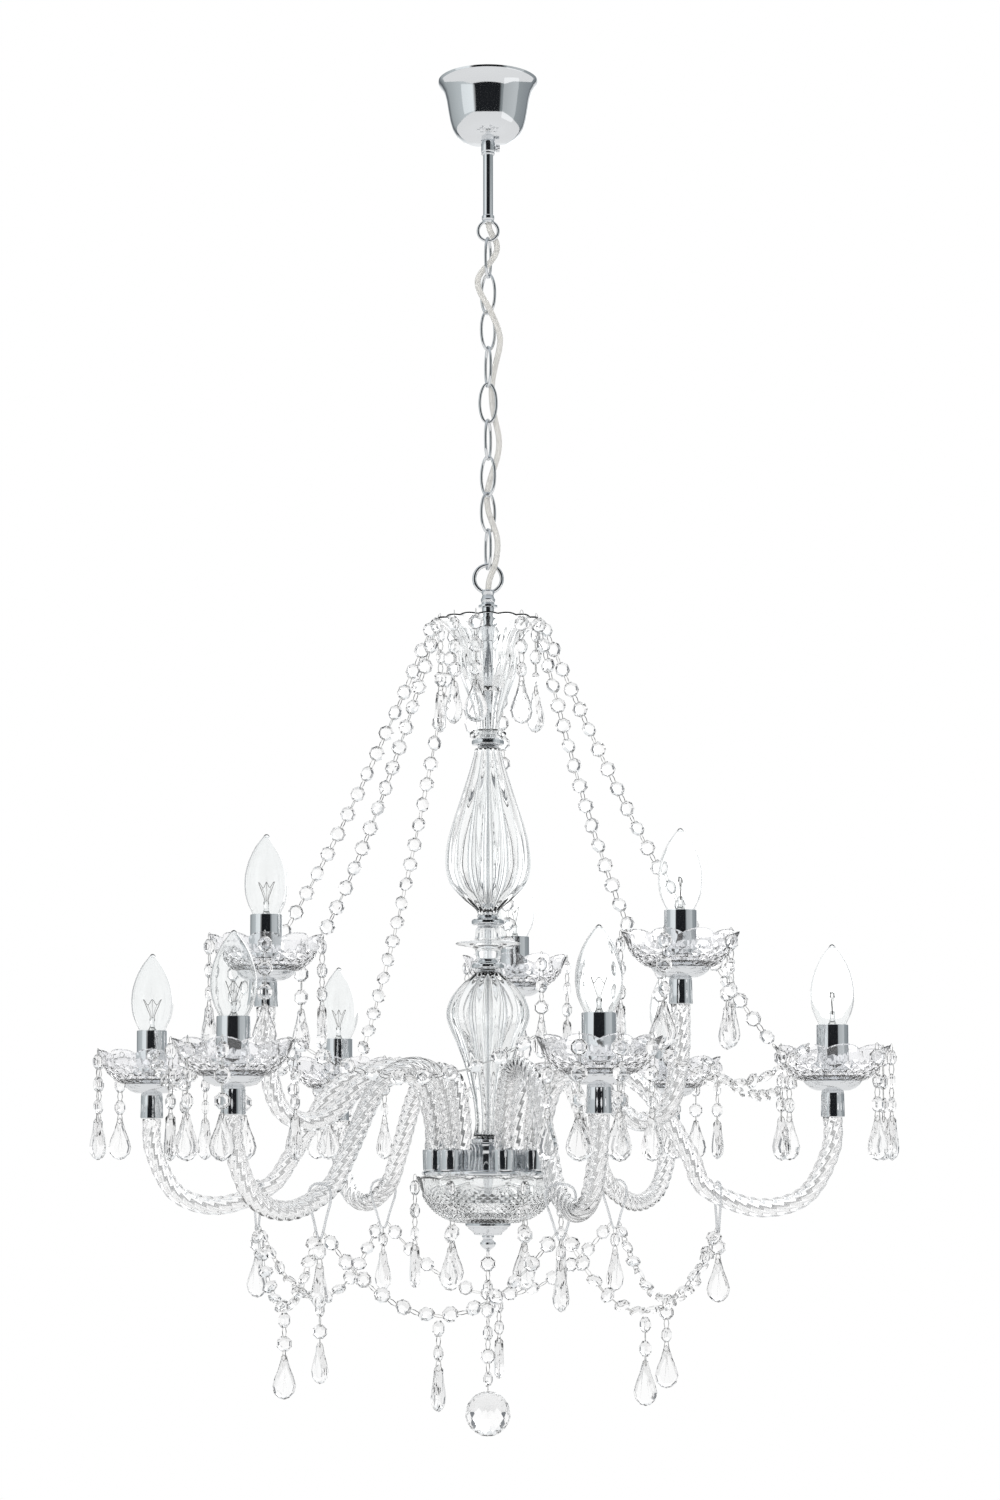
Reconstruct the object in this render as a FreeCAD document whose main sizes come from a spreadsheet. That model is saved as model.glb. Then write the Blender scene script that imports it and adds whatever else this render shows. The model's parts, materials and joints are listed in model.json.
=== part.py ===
import FreeCAD, Part
import math
import os
import re

import Sketcher

# Crystal chandelier, millimetres. The origin is the middle of the ceiling plane, +Z is up,
# and everything hangs below it. An azimuth is counted from -Y towards +X.

V = FreeCAD.Vector
doc = FreeCAD.newDocument("crystal_chandelier")
sheet = doc.addObject("Spreadsheet::Sheet", "sizes")

SIZES = {
    # ceiling mount
    "bracket_length": 72.0,
    "bracket_width": 20.0,
    "bracket_thick": 3.0,
    "screw_spacing": 60.0,
    "screw_hole": 4.5,
    "stem_dia": 8.4,
    "stem_bore": 6.0,
    "stem_length": 112.0,
    "nut_across": 15.0,
    "nut_height": 6.0,
    "cup_dia": 82.0,
    "cup_foot_dia": 36.0,
    "cup_height": 50.0,
    "cup_wall": 1.0,
    "collar_dia": 11.6,
    "collar_height": 11.5,
    "set_screw_dia": 2.8,
    "set_screw_head_dia": 6.0,
    "set_screw_head_length": 4.0,
    "terminal_width": 18.0,
    "terminal_depth": 13.0,
    "terminal_height": 12.0,
    "terminal_gap": 1.5,
    # suspension
    "loop_dia": 19.0,
    "loop_wire": 2.5,
    "loop_boss_dia": 10.4,
    "loop_boss_height": 6.4,
    "loop_sunk": 0.6,
    "link_length": 35.2,
    "link_width": 16.0,
    "link_wire": 2.4,
    "link_count": 9.0,
    "link_twist": 72.0,
    "ring_dia": 26.0,
    "ring_wire": 3.4,
    "neck_dia": 12.0,
    "neck_height": 8.6,
    "flange_dia": 15.6,
    "flange_height": 2.4,
    "flex_dia": 4.8,
    # column
    "rod_dia": 6.0,
    "spacer_dia": 27.0,
    "spacer_height": 5.0,
    "spacer_neck_dia": 18.0,
    "spacer_neck_height": 3.0,
    "top_dish_rim_dia": 87.0,
    "top_dish_body_dia": 50.0,
    "top_dish_foot_dia": 18.0,
    "top_dish_height": 96.0,
    "top_dish_drop": 9.0,
    "upper_baluster_dia": 70.0,
    "upper_baluster_height": 136.0,
    "lens_dia": 53.0,
    "lens_height": 25.0,
    "lower_baluster_dia": 68.0,
    "lower_baluster_height": 134.0,
    "baluster_neck_dia": 20.0,
    "flutes": 14.0,
    "flute_depth": 0.10,
    # hub and bowl
    "hub_dia": 108.0,
    "hub_height": 4.0,
    "hub_boss_dia": 30.0,
    "hub_boss_rise": 5.0,
    "hub_cup_circle": 90.0,
    "bowl_dia": 118.0,
    "bowl_depth": 38.0,
    "bowl_wall": 4.0,
    "bowl_cup_dia": 37.0,
    "bowl_cup_height": 10.0,
    "finial_dia": 13.0,
    "finial_height": 14.0,
    # arms and lights
    "arm_dia": 15.6,
    "arm_twist": 26.0,
    "arm_cup_dia": 19.0,
    "arm_cup_height": 17.0,
    "light_cup_height": 21.0,
    "lower_reach": 287.0,
    "lower_light_height": 26.0,
    "upper_reach": 188.0,
    "upper_light_height": 113.0,
    "pan_dia": 46.0,
    "pan_depth": 7.5,
    "pan_wall": 1.2,
    "bobeche_dia": 93.0,
    "bobeche_depth": 28.0,
    "bobeche_wall": 3.0,
    "sleeve_dia": 25.6,
    "sleeve_height": 51.0,
    "sleeve_wall": 0.9,
    "bulb_dia": 35.0,
    "bulb_height": 64.0,
    "bulb_cap_dia": 13.6,
    "bulb_cap_length": 21.0,
    "lampholder_dia": 22.0,
    "holder_sunk": 2.0,
    # crystals
    "bead_pitch": 18.6,
    "bead_width": 12.4,
    "bead_thick": 7.0,
    "almond_length": 34.0,
    "almond_width": 20.0,
    "almond_thick": 9.0,
    "ball_dia": 36.6,
    "hook_width": 24.0,
    "hook_height": 42.0,
    "hook_wire": 1.6,
    "hook_from_light": 92.0,
    "hook_below_start": 25.5,
    "swag_sag": 62.0,
    # clearances
    "running_gap": 0.05,
    "hanging_gap": 0.2,
    "seat_gap": 0.1,
    "cord_gap": 0.3,
}
LOWER_AZIMUTHS = [16.5, 78, 146, 208, 257.5, 319]
LOWER_SHORT = [0, 7, 0, 0, 0, 0]  # how far each light stands in from lower_reach
UPPER_AZIMUTHS = [53, 173, 291]
STRAND_ARMS = [1, 3, 4]  # lower lights that a strand from the top dish reaches

for row, (word, number) in enumerate(SIZES.items(), start=1):
    sheet.set(f"A{row}", word)
    sheet.set(f"B{row}", str(number))
    sheet.setAlias(f"B{row}", word)
doc.recompute()

ROUND = 12  # sides of the small turned pieces
CUP_SIDES = 28  # and of the large ones
BOWL_SIDES = 24
STACK_SIDES = 10  # of the cups and sleeves, which are there nine or eighteen times
HOLDER_SIDES = 6
BULB_SIDES = 8
BALL_SIDES = 10
BORE_SIDES = 8  # of the holes that the flex passes
ARM_SIDES = 6
ARM_STEP = 23  # length of arm between two rings of corners
LOBES = 10  # scallops of a bobeche
NECK_FLOOR = 2  # metal left in the body ring's neck under its bore

pieces = []


def bound(formula):
    """The formula with each size's name pointing at its cell."""
    return re.sub(r"[a-z_]+", lambda m: "sizes." + m.group() if m.group() in SIZES else m.group(), formula)


def size(formula):
    """The value in millimetres of a formula of sizes."""
    return float(sheet.evalExpression(formula))


def keep(piece, label):
    piece.Label = label
    pieces.append(piece)
    return piece


def origin_plane(body, role):
    return next(f for f in body.Origin.OriginFeatures if f.Role == role)


def at_height(thing, formula):
    thing.setExpression("Placement.Base.z", bound(formula))


def spun(label, outline):
    """A body turned about Z from a closed outline of (radius, height) formulas."""
    body = doc.addObject("PartDesign::Body", label)
    sketch = body.newObject("Sketcher::SketchObject", label + "_outline")
    sketch.AttachmentSupport = (origin_plane(body, "XZ_Plane"), [""])
    sketch.MapMode = "FlatFace"
    corners = [V(size(r), size(h), 0) for r, h in outline]
    count = len(corners)
    for i in range(count):
        sketch.addGeometry(Part.LineSegment(corners[i], corners[(i + 1) % count]))
    for i in range(count):
        sketch.addConstraint(Sketcher.Constraint("Coincident", i, 2, (i + 1) % count, 1))
    for i, (radius, height) in enumerate(outline):
        for kind, formula, axis in (("DistanceX", radius, -2), ("DistanceY", height, -1)):
            if formula == "0":
                sketch.addConstraint(Sketcher.Constraint("PointOnObject", i, 1, axis))
                continue
            at = sketch.addConstraint(Sketcher.Constraint(kind, -1, 1, i, 1, size(formula)))
            sketch.setExpression(f"Constraints[{at}]", bound(formula))
    turn = body.newObject("PartDesign::Revolution", label + "_turn")
    turn.Profile = sketch
    turn.ReferenceAxis = (sketch, ["V_Axis"])
    turn.Angle = 360
    return keep(body, label)


def primitive(kind, name, **formulas):
    """A Part primitive whose sizes are bound to the sheet."""
    thing = doc.addObject(kind, name)
    for field, formula in formulas.items():
        path = {"X": "Placement.Base.x", "Y": "Placement.Base.y", "Z": "Placement.Base.z"}.get(field, field)
        thing.setExpression(path, bound(formula))
    return thing


def cut(label, base, tools):
    joined = tools[0]
    if len(tools) > 1:
        joined = doc.addObject("Part::MultiFuse", label + "_tools")
        joined.Shapes = tools
    result = doc.addObject("Part::Cut", label)
    result.Base = base
    result.Tool = joined
    return result


def fixed(label, shape, base=None, turn=0.0):
    """A piece whose shape is made below from the sheet's sizes, then placed."""
    feature = doc.addObject("Part::Feature", label)
    feature.Shape = shape
    stand = FreeCAD.Placement(base or V(), FreeCAD.Rotation(V(0, 0, 1), turn))
    feature.Placement = stand.multiply(shape.Placement)
    return keep(feature, label)


# Faceted glass, wire and drops: flat faces between rings of corners.


def flat_faces(corners):
    """One face if the corners lie in a plane, else a fan of triangles."""
    corners = [c for i, c in enumerate(corners) if (c - corners[i - 1]).Length > 1e-6]
    if len(corners) < 3:
        return []
    normal = (corners[1] - corners[0]).cross(corners[2] - corners[0])
    if all(abs((c - corners[0]).dot(normal)) < 1e-6 * max(normal.Length, 1e-9) for c in corners[3:]):
        return [Part.Face(Part.makePolygon(corners + corners[:1]))]
    triangles = [[corners[0], corners[i], corners[i + 1]] for i in range(1, len(corners) - 1)]
    return [Part.Face(Part.makePolygon(t + t[:1])) for t in triangles]


def faceted(rings, closed=False):
    """A solid skinned over rings of corners, open ended rings capped, or round again when closed."""
    faces = []
    pairs = list(zip(rings, rings[1:])) + ([(rings[-1], rings[0])] if closed else [])
    for low, high in pairs:
        count = max(len(low), len(high))
        for i in range(count):
            j = (i + 1) % count
            quad = [low[i % len(low)], low[j % len(low)], high[j % len(high)], high[i % len(high)]]
            faces += flat_faces(quad)
    if not closed:
        for end in (rings[0], rings[-1]):
            if len(end) > 2:
                faces += flat_faces(end)
    shell = Part.makeShell(faces)
    shell.sewShape()
    solid = Part.makeSolid(shell)
    if solid.Volume < 0:
        solid.reverse()
    return solid


def circle(radius, height, sides, dip=0.0, wave=0.0, phase=0.0):
    """A ring of corners about Z. Every second corner is drawn in by dip and lowered by wave."""
    corners = []
    for i in range(sides):
        angle = 2 * math.pi * (i + phase) / sides
        reach = radius * (1 - dip * (i % 2))
        corners.append(V(reach * math.cos(angle), reach * math.sin(angle), height - wave * (i % 2)))
    return corners


def clear_of(radius, sides):
    """The corner radius of a hole of so many sides that a shaft of this radius turns in."""
    return radius / math.cos(math.pi / sides)


def turned(outline, sides, closed=False):
    """A solid turned about Z in flat facets, from (radius, height) pairs."""
    return faceted([circle(radius, height, sides) for radius, height in outline], closed)


def tube_rings(points, radius, sides, twist=0.0, normal=None):
    """Rings of corners square to a path. Each ring is turned on from the last by twist degrees."""
    rings = []
    side = normal
    for i, point in enumerate(points):
        ahead = points[min(i + 1, len(points) - 1)] - points[max(i - 1, 0)]
        ahead.normalize()
        side = side - ahead * side.dot(ahead)
        side.normalize()
        other = ahead.cross(side)
        ring = []
        for k in range(sides):
            angle = 2 * math.pi * k / sides + math.radians(twist * i)
            ring.append(point + side * (radius * math.cos(angle)) + other * (radius * math.sin(angle)))
        rings.append(ring)
    return rings


def wire_loop(path, wire, sides=5):
    """A closed ring of wire along a closed path that lies in the XZ plane."""
    radius = wire / 2
    rings = []
    for i, point in enumerate(path):
        ahead = path[(i + 1) % len(path)] - path[i - 1]
        ahead.normalize()
        outward = V(0, 1, 0).cross(ahead)
        ring = []
        for k in range(sides):
            angle = 2 * math.pi * (k + 0.5) / sides
            ring.append(point + outward * (radius * math.cos(angle)) + V(0, radius * math.sin(angle), 0))
        rings.append(ring)
    return faceted(rings, closed=True)


def oval(length, width, steps=6):
    """The centre line of an oval link, its top bow first, its top at the origin."""
    radius = width / 2
    low = -(length - radius)
    top = [math.pi * i / steps for i in range(steps + 1)]
    path = [V(radius * math.cos(a), 0, -radius + radius * math.sin(a)) for a in top]
    return path + [V(-radius * math.cos(a), 0, low - radius * math.sin(a)) for a in top]


def hoop(radius, steps=12):
    """The centre line of a round ring about the origin, its top first."""
    angles = [2 * math.pi * i / steps for i in range(steps)]
    return [V(radius * math.sin(a), 0, radius * math.cos(a)) for a in angles]


def profile(table, high, **radii):
    """(radius, height) pairs from a table of (which radius, share of it, share of the height)."""
    return [(radii[word] * share, level * high) for word, share, level in table]


# Ceiling mount


def ceiling_bracket():
    strap = primitive(
        "Part::Box",
        "strap",
        Length="bracket_length",
        Width="bracket_width",
        Height="bracket_thick",
        X="-bracket_length / 2",
        Y="-bracket_width / 2",
        Z="-bracket_thick",
    )
    holes = [
        primitive(
            "Part::Cylinder",
            f"strap_hole_{side}",
            Radius="screw_hole / 2",
            Height="3 * bracket_thick",
            X=f"{side} * screw_spacing / 2",
            Z="-2 * bracket_thick",
        )
        for side in (-1, 1)
    ]
    middle = primitive(
        "Part::Cylinder",
        "strap_stem_hole",
        Radius="stem_dia / 2 + running_gap",
        Height="3 * bracket_thick",
        Z="-2 * bracket_thick",
    )
    keep(cut("ceiling_bracket", strap, holes + [middle]), "ceiling_bracket")


def stem():
    tube = [("stem_bore / 2", "0"), ("stem_dia / 2", "0")]
    tube += [("stem_dia / 2", "stem_length"), ("stem_bore / 2", "stem_length")]
    at_height(spun("stem_tube", tube), "-stem_length")
    nut = primitive("Part::Prism", "nut_blank", Circumradius="nut_across / sqrt(3)", Height="nut_height")
    nut.setExpression("Placement.Base.z", bound("-bracket_thick - nut_height"))
    nut.Polygon = 6
    thread = primitive(
        "Part::Cylinder",
        "nut_bore",
        Radius="stem_dia / 2",
        Height="3 * nut_height",
        Z="-bracket_thick - 2 * nut_height",
    )
    keep(cut("stem_nut", nut, [thread]), "stem_nut")


def terminal_block():
    block = primitive(
        "Part::Box",
        "terminal_block",
        Length="terminal_depth",
        Width="terminal_width",
        Height="terminal_height",
        X="nut_across / sqrt(3) + terminal_gap",
        Y="-terminal_width / 2",
        Z="-bracket_thick - terminal_height",
    )
    keep(block, "terminal_block")


# The cup's shoulder, out and up from the foot, and its flare, in and down from the lip.
CUP_SHOULDER = [(9, 5), (13.5, 15)]
CUP_SHOULDER_INSIDE = [(13.4, 15.2), (8.4, 6), (0.6, 1)]
CUP_FLARE = (6, 10)
CUP_FLARE_INSIDE = (6.5, 9.5)
CUP_LIP_DEPTH = 2


def ceiling_cup():
    """The bell that hides the strap: a flared lip against the ceiling, a shoulder and a flat foot."""
    foot = size("cup_foot_dia / 2")
    lip = size("cup_dia / 2")
    high = size("cup_height")
    wall = size("cup_wall")
    bore = size("stem_dia / 2 + running_gap")
    outer = [(bore, 0), (foot, 0)] + [(foot + out, up) for out, up in CUP_SHOULDER]
    outer += [(lip - CUP_FLARE[0], high - CUP_FLARE[1]), (lip, high - CUP_LIP_DEPTH), (lip, high)]
    inner = [(lip - wall, high), (lip - CUP_FLARE_INSIDE[0] - wall, high - CUP_FLARE_INSIDE[1])]
    inner += [(foot + out - wall, up) for out, up in CUP_SHOULDER_INSIDE] + [(bore, wall)]
    fixed("ceiling_cup", turned(outer + inner, CUP_SIDES, closed=True), V(0, 0, -high))


def collar_and_screw():
    """The collar under the cup, tapped from the side for the thumb screw that holds it on the stem."""
    outer = primitive("Part::Prism", "collar_blank", Circumradius="collar_dia / 2", Height="collar_height")
    outer.Polygon = ROUND
    clearance = "stem_dia / 2 + running_gap"
    bore = primitive("Part::Cylinder", "collar_bore", Radius=clearance, Height="3 * collar_height")
    thread = "set_screw_dia / 2 + running_gap"
    tapped = primitive("Part::Cylinder", "collar_tapping", Radius=thread, Height="collar_dia")
    tapped.Placement.Rotation = FreeCAD.Rotation(V(0, 1, 0), 90)
    for thing, level in ((outer, "-cup_height - collar_height"), (bore, "-cup_height - 2 * collar_height")):
        at_height(thing, level)
    at_height(tapped, "-cup_height - collar_height / 2")
    keep(cut("cup_collar", outer, [bore, tapped]), "cup_collar")

    tip = size("stem_dia / 2 + seat_gap")
    head_at = size("collar_dia / 2 + seat_gap")
    head_length = size("set_screw_head_length")
    shank = size("set_screw_dia / 2")
    head = size("set_screw_head_dia / 2")
    screw = turned([(shank, tip), (shank, head_at), (head, head_at), (head, head_at + head_length)], ROUND)
    screw.rotate(V(), V(0, 1, 0), 90)
    fixed("set_screw", screw, V(0, 0, size("-cup_height - collar_height / 2")))


# Suspension


def stem_loop():
    """The loop's boss screws onto the tube's end, and the flex comes out through it."""
    middle = size("-stem_length - loop_boss_height + loop_sunk - loop_dia / 2 + loop_wire")
    ring = wire_loop(hoop(size("(loop_dia - loop_wire) / 2")), size("loop_wire"))
    ring.translate(V(0, 0, middle))
    height = size("loop_boss_height")
    under = size("-stem_length") - height
    boss = turned([(size("loop_boss_dia / 2"), under), (size("loop_boss_dia / 2"), under + height)], ROUND)
    opening = clear_of(size("flex_dia / 2 + cord_gap"), BORE_SIDES)
    bore = turned([(opening, under - height), (opening, under + 2 * height)], BORE_SIDES)
    fixed("stem_loop", ring.fuse(boss).cut(bore))
    return middle - size("(loop_dia - loop_wire) / 2")


def chain(wire_above):
    """Nine oval links. Each hangs in the bow above and is turned on by the twist of the chain."""
    centre_line = oval(size("link_length - link_wire"), size("link_width - link_wire"))
    link = wire_loop(centre_line, size("link_wire"))
    top = wire_above + size("(loop_wire + link_wire) / 2 + hanging_gap")
    pivots = []
    for number in range(1, int(size("link_count")) + 1):
        fixed(f"chain_link_{number}", link.copy(), V(0, 0, top), number * size("link_twist"))
        pivots.append(wire_above)
        wire_above = top - size("link_length - link_wire")
        top = wire_above + size("link_wire + hanging_gap")
    return wire_above, pivots + [wire_above]


def body_ring(wire_above):
    """The ring that the chandelier hangs by, with its drilled neck and flange."""
    radius = size("(ring_dia - ring_wire) / 2")
    middle = wire_above + size("(ring_wire + link_wire) / 2 + hanging_gap") - radius
    ring = wire_loop(hoop(radius), size("ring_wire"))
    ring.translate(V(0, 0, middle))
    neck_top = middle - radius + size("ring_wire / 2")
    neck_height = size("neck_height + ring_wire")
    flange_top = neck_top - neck_height
    foot = flange_top - size("flange_height")
    outline = [(size("flange_dia / 2"), foot), (size("flange_dia / 2"), flange_top)]
    outline += [(size("neck_dia / 2"), flange_top), (size("neck_dia / 2"), neck_top)]
    opening = clear_of(size("flex_dia / 2 + cord_gap"), BORE_SIDES)
    bore = turned([(opening, flange_top + NECK_FLOOR), (opening, neck_top + neck_height)], BORE_SIDES)
    fixed("body_ring", ring.fuse(turned(outline, ROUND)).cut(bore))
    return foot


# The flex leaves the stem, winds through the links and enters the ring's neck.
FLEX_ROUTE = [
    (0.0, 0.0, -110.0),
    (0.0, 0.0, -120.5),
    (3.2, 3.7, -127.0),
    (7.2, 4.6, -132.8),
    (7.6, 3.6, -140.3),
    (2.7, 1.7, -149.5),
    (-5.7, -0.5, -158.7),
    (-9.4, -3.6, -167.5),
    (-6.8, -5.6, -177.5),
    (-0.3, -6.6, -188.4),
    (5.7, -4.9, -200.4),
    (10.1, -2.7, -212.2),
    (9.6, 0.0, -221.9),
    (6.6, 2.5, -232.8),
    (3.5, 3.5, -246.6),
    (2.6, 4.5, -260.5),
    (4.2, 4.3, -274.5),
    (7.4, 4.3, -287.1),
    (9.4, 4.0, -298.2),
    (8.3, 4.1, -309.3),
    (5.0, 4.4, -320.0),
    (0.9, 6.1, -331.6),
    (-1.4, 5.4, -345.2),
    (0.2, 2.9, -357.4),
    (3.9, -0.4, -367.6),
    (7.8, -2.4, -379.5),
    (7.8, -3.7, -392.0),
    (5.3, -4.8, -404.1),
    (1.0, -2.0, -413.5),
    (0.0, 0.0, -421.0),
    (0.0, 0.0, -428.0),
]
ARC_SHARE = 0.45


def flex():
    """A lead: straight runs joined by tangent arcs, each arc shown by its ends and middle."""
    points = [V(*p) for p in FLEX_ROUTE]
    path = [points[0]]
    radii = []
    for before, here, after in zip(points, points[1:], points[2:]):
        back = before - here
        ahead = after - here
        reach = ARC_SHARE * min(back.Length, ahead.Length)
        half_turn = (math.pi - back.getAngle(ahead)) / 2
        radii.append(reach / math.tan(half_turn))
        back.normalize()
        ahead.normalize()
        inward = back + ahead
        inward.normalize()
        drawn_in = radii[-1] * (1 / math.cos(half_turn) - 1)
        path += [here + back * reach, here + inward * drawn_in, here + ahead * reach]
    path.append(points[-1])
    print("flex bend radii mm:", [round(r) for r in radii])
    tube = faceted(tube_rings(path, size("flex_dia / 2"), 4, normal=V(1, 0, 0)))
    fixed("flex", tube)


# Column


# Outlines of the glass turnings from the foot up: which radius, a share of it, a share of the height.
TOP_DISH = [
    ("foot", 1, 0),
    ("foot", 1.15, 0.16),
    ("waist", 0.72, 0.36),
    ("waist", 1, 0.56),
    ("waist", 1, 0.72),
    ("waist", 1.1, 0.9),
    ("rim", 1, 1),
]
TOP_DISH_INSIDE = [("waist", 0.9, 0.88), ("waist", 0.3, 0.8)]
TOP_DISH_FLOOR = 0.8
UPPER_BALUSTER = [
    ("neck", 0.8, 0),
    ("wide", 0.6, 0.1),
    ("wide", 1, 0.26),
    ("wide", 0.88, 0.4),
    ("wide", 0.56, 0.62),
    ("wide", 0.38, 0.82),
    ("neck", 1.1, 1),
]
LENS = [
    ("neck", 1, 0),
    ("neck", 0.85, 0.25),
    ("wide", 0.8, 0.36),
    ("wide", 1, 0.5),
    ("wide", 0.8, 0.64),
    ("neck", 0.85, 0.75),
    ("neck", 1, 1),
]
LENS_SIDES = 14
LOWER_BALUSTER = [
    ("neck", 1.3, 0),
    ("neck", 0.9, 0.1),
    ("wide", 0.42, 0.32),
    ("wide", 0.66, 0.52),
    ("wide", 1, 0.72),
    ("wide", 0.72, 0.88),
    ("neck", 1, 1),
]


def fluted(label, level, stations, sides, dip):
    """A glass turning with flutes. stations go up the outside as (radius, height above level)."""
    bore = size("rod_dia / 2 + seat_gap")
    rings = [circle(radius, height, sides, dip) for radius, height in stations]
    rings += [circle(bore, stations[-1][1], sides), circle(bore, stations[0][1], sides)]
    return fixed(label, faceted(rings, closed=True), V(0, 0, level))


def top_dish(level, sides, dip):
    """The fluted dish at the top of the column, hollow down to a floor that the rod passes."""
    high = size("top_dish_height")
    rim = size("top_dish_rim_dia / 2")
    waist = size("top_dish_body_dia / 2")
    foot = size("top_dish_foot_dia / 2")
    stations = profile(TOP_DISH, high, foot=foot, waist=waist, rim=rim)
    rings = [circle(r, h, sides, dip) for r, h in stations]
    rings += [circle(r, h, sides) for r, h in profile(TOP_DISH_INSIDE, high, waist=waist)]
    bore = size("rod_dia / 2 + seat_gap")
    rings += [circle(bore, TOP_DISH_FLOOR * high, sides), circle(bore, 0, sides)]
    fixed("top_dish", faceted(rings, closed=True), V(0, 0, level))


def column(top):
    """The glass turnings and their chrome discs, threaded on the rod from the flange down."""
    sides = 2 * int(size("flutes"))
    dip = size("flute_depth")
    neck = size("baluster_neck_dia / 2")
    spacer = size("spacer_height + 2 * spacer_neck_height")
    spools = []
    level = top - size("top_dish_height + top_dish_drop")
    top_dish(level, sides, dip)
    turnings = (
        ("upper_baluster", UPPER_BALUSTER, "upper_baluster_dia", "upper_baluster_height", sides, dip),
        ("lens_disc", LENS, "lens_dia", "lens_height", LENS_SIDES, 0),
        ("lower_baluster", LOWER_BALUSTER, "lower_baluster_dia", "lower_baluster_height", sides, dip),
    )
    for label, table, across, tall, corners, flute in turnings:
        high = size(tall)
        spools.append(level - spacer)
        level -= spacer + high
        stations = profile(table, high, wide=size(across) / 2, neck=neck)
        fluted(label, level, stations, corners, flute)

    disc = size("spacer_height")
    level -= disc
    bore = clear_of(size("rod_dia / 2 + seat_gap"), ROUND)
    wide = size("spacer_dia / 2")
    narrow = size("spacer_neck_dia / 2")
    low = size("spacer_neck_height")
    spool = [(bore, 0), (narrow, 0), (narrow, low), (wide, low)]
    spool += [(wide, low + disc), (narrow, low + disc), (narrow, spacer), (bore, spacer)]
    discs = [turned(spool, ROUND, closed=True) for _ in spools]
    discs.append(turned([(bore, 0), (wide, 0), (wide, disc), (bore, disc)], ROUND, closed=True))
    for shape, height in zip(discs, spools + [level]):
        shape.translate(V(0, 0, height))
    fixed("column_discs", Part.makeCompound(discs))
    return level


def hub(top):
    """The plate that the arm cups stand on, with a boss up to the lowest disc."""
    plate = top - size("hub_height + arm_cup_height + hub_boss_rise")
    disc = primitive("Part::Prism", "hub_plate", Circumradius="hub_dia / 2", Height="hub_height")
    disc.Polygon = CUP_SIDES
    boss_height = "hub_height + arm_cup_height + hub_boss_rise"
    boss = primitive("Part::Prism", "hub_boss", Circumradius="hub_boss_dia / 2", Height=boss_height)
    boss.Polygon = ROUND
    blank = doc.addObject("Part::MultiFuse", "hub_blank")
    blank.Shapes = [disc, boss]
    clearance = "rod_dia / 2 + seat_gap"
    bore = primitive("Part::Cylinder", "hub_bore", Radius=clearance, Height="2 * hub_dia", Z="-hub_dia")
    result = cut("hub", blank, [bore])
    result.Placement.Base = V(0, 0, plate)
    keep(result, "hub")
    return plate


# The bowl's outside, foot first: a share of the rim's radius, a share of the depth, the scallop's dip.
BOWL_OUTSIDE = [(0.3, 0, 0), (0.74, 0.28, 0.03), (0.92, 0.66, 0.05), (1, 1, 0.06)]
BOWL_WAVE = 3  # how far the rim sinks between two scallops
BOWL_CUP = [("wide", 0.62, 0), ("wide", 1, 0.5), ("wide", 1, 1)]
FINIAL = [
    ("wide", 0.44, 0),
    ("wide", 0.9, 0.22),
    ("wide", 1, 0.45),
    ("wide", 0.84, 0.66),
    ("wide", 0.6, 0.8),
    ("wide", 0.72, 1),
]
FINIAL_SIDES = 16
ROD_SEAT = 0.2  # share of the top dish's height that the rod's head is let into
ROD_HEAD = 2  # the head stands out from the rod by this


def bowl(base):
    """The scalloped bowl: four rings up the outside, a thin rim, and down the inside to the bore."""
    rim = size("bowl_dia / 2")
    deep = size("bowl_depth")
    wall = size("bowl_wall")
    bore = size("rod_dia / 2 + seat_gap")
    foot, _, (shoulder, shoulder_up, shoulder_dip), (_, _, rim_dip) = BOWL_OUTSIDE
    rings = [circle(bore, 0, BOWL_SIDES)]
    for share, up, dip in BOWL_OUTSIDE:
        wave = BOWL_WAVE if up == 1 else 0
        rings.append(circle(share * rim, up * deep, BOWL_SIDES, dip, wave))
    rings.append(circle(rim - 0.8 * wall, deep - 0.5, BOWL_SIDES, rim_dip, BOWL_WAVE))
    rings.append(circle(shoulder * rim - wall, shoulder_up * deep + 1, BOWL_SIDES, shoulder_dip))
    rings += [circle(foot[0] * rim, wall, BOWL_SIDES), circle(bore, wall, BOWL_SIDES)]
    fixed("bowl", faceted(rings, closed=True), V(0, 0, base))


def bowl_and_finial(plate, rod_top):
    """The bowl under the hub plate, the cup and knob that close it, and the rod through everything."""
    base = plate - size("bowl_depth")
    bowl(base)

    high = size("bowl_cup_height")
    cup = profile(BOWL_CUP, high, wide=size("bowl_cup_dia / 2"))
    fixed("bowl_cup", turned(cup, BOWL_SIDES), V(0, 0, base - high))

    tall = size("finial_height")
    tip = base - high - tall
    knob = profile(FINIAL, tall, wide=size("finial_dia / 2"))
    fixed("finial", turned(knob, FINIAL_SIDES), V(0, 0, tip))

    length = rod_top - base
    rod = size("rod_dia / 2")
    head = rod + ROD_HEAD
    seat = length - ROD_SEAT * size("top_dish_height") - size("top_dish_drop - seat_gap")
    outline = [(rod, 0), (rod, seat), (head, seat), (head, length)]
    fixed("centre_rod", turned(outline, ROUND), V(0, 0, base))
    return base, tip


# Arms and lights


def around(radius, azimuth, height):
    angle = math.radians(azimuth)
    return V(radius * math.sin(angle), -radius * math.cos(angle), height)


# Centre lines of the arms: out and up from the hub's cup, then in and up from the light's cup.
LOWER_RISE = [(0, 0), (1, 24), (13, 56), (41, 66), (70, 59), (91, 42), (120, -4)]
LOWER_DIP = [(102, -30), (60, -46), (22, -36), (2, -1)]
UPPER_RISE = [(0, 0), (1, 24), (10, 52), (36, 66), (62, 55), (82, 34)]
UPPER_DIP = [(38, 22), (12, 33), (1, 72)]


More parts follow.
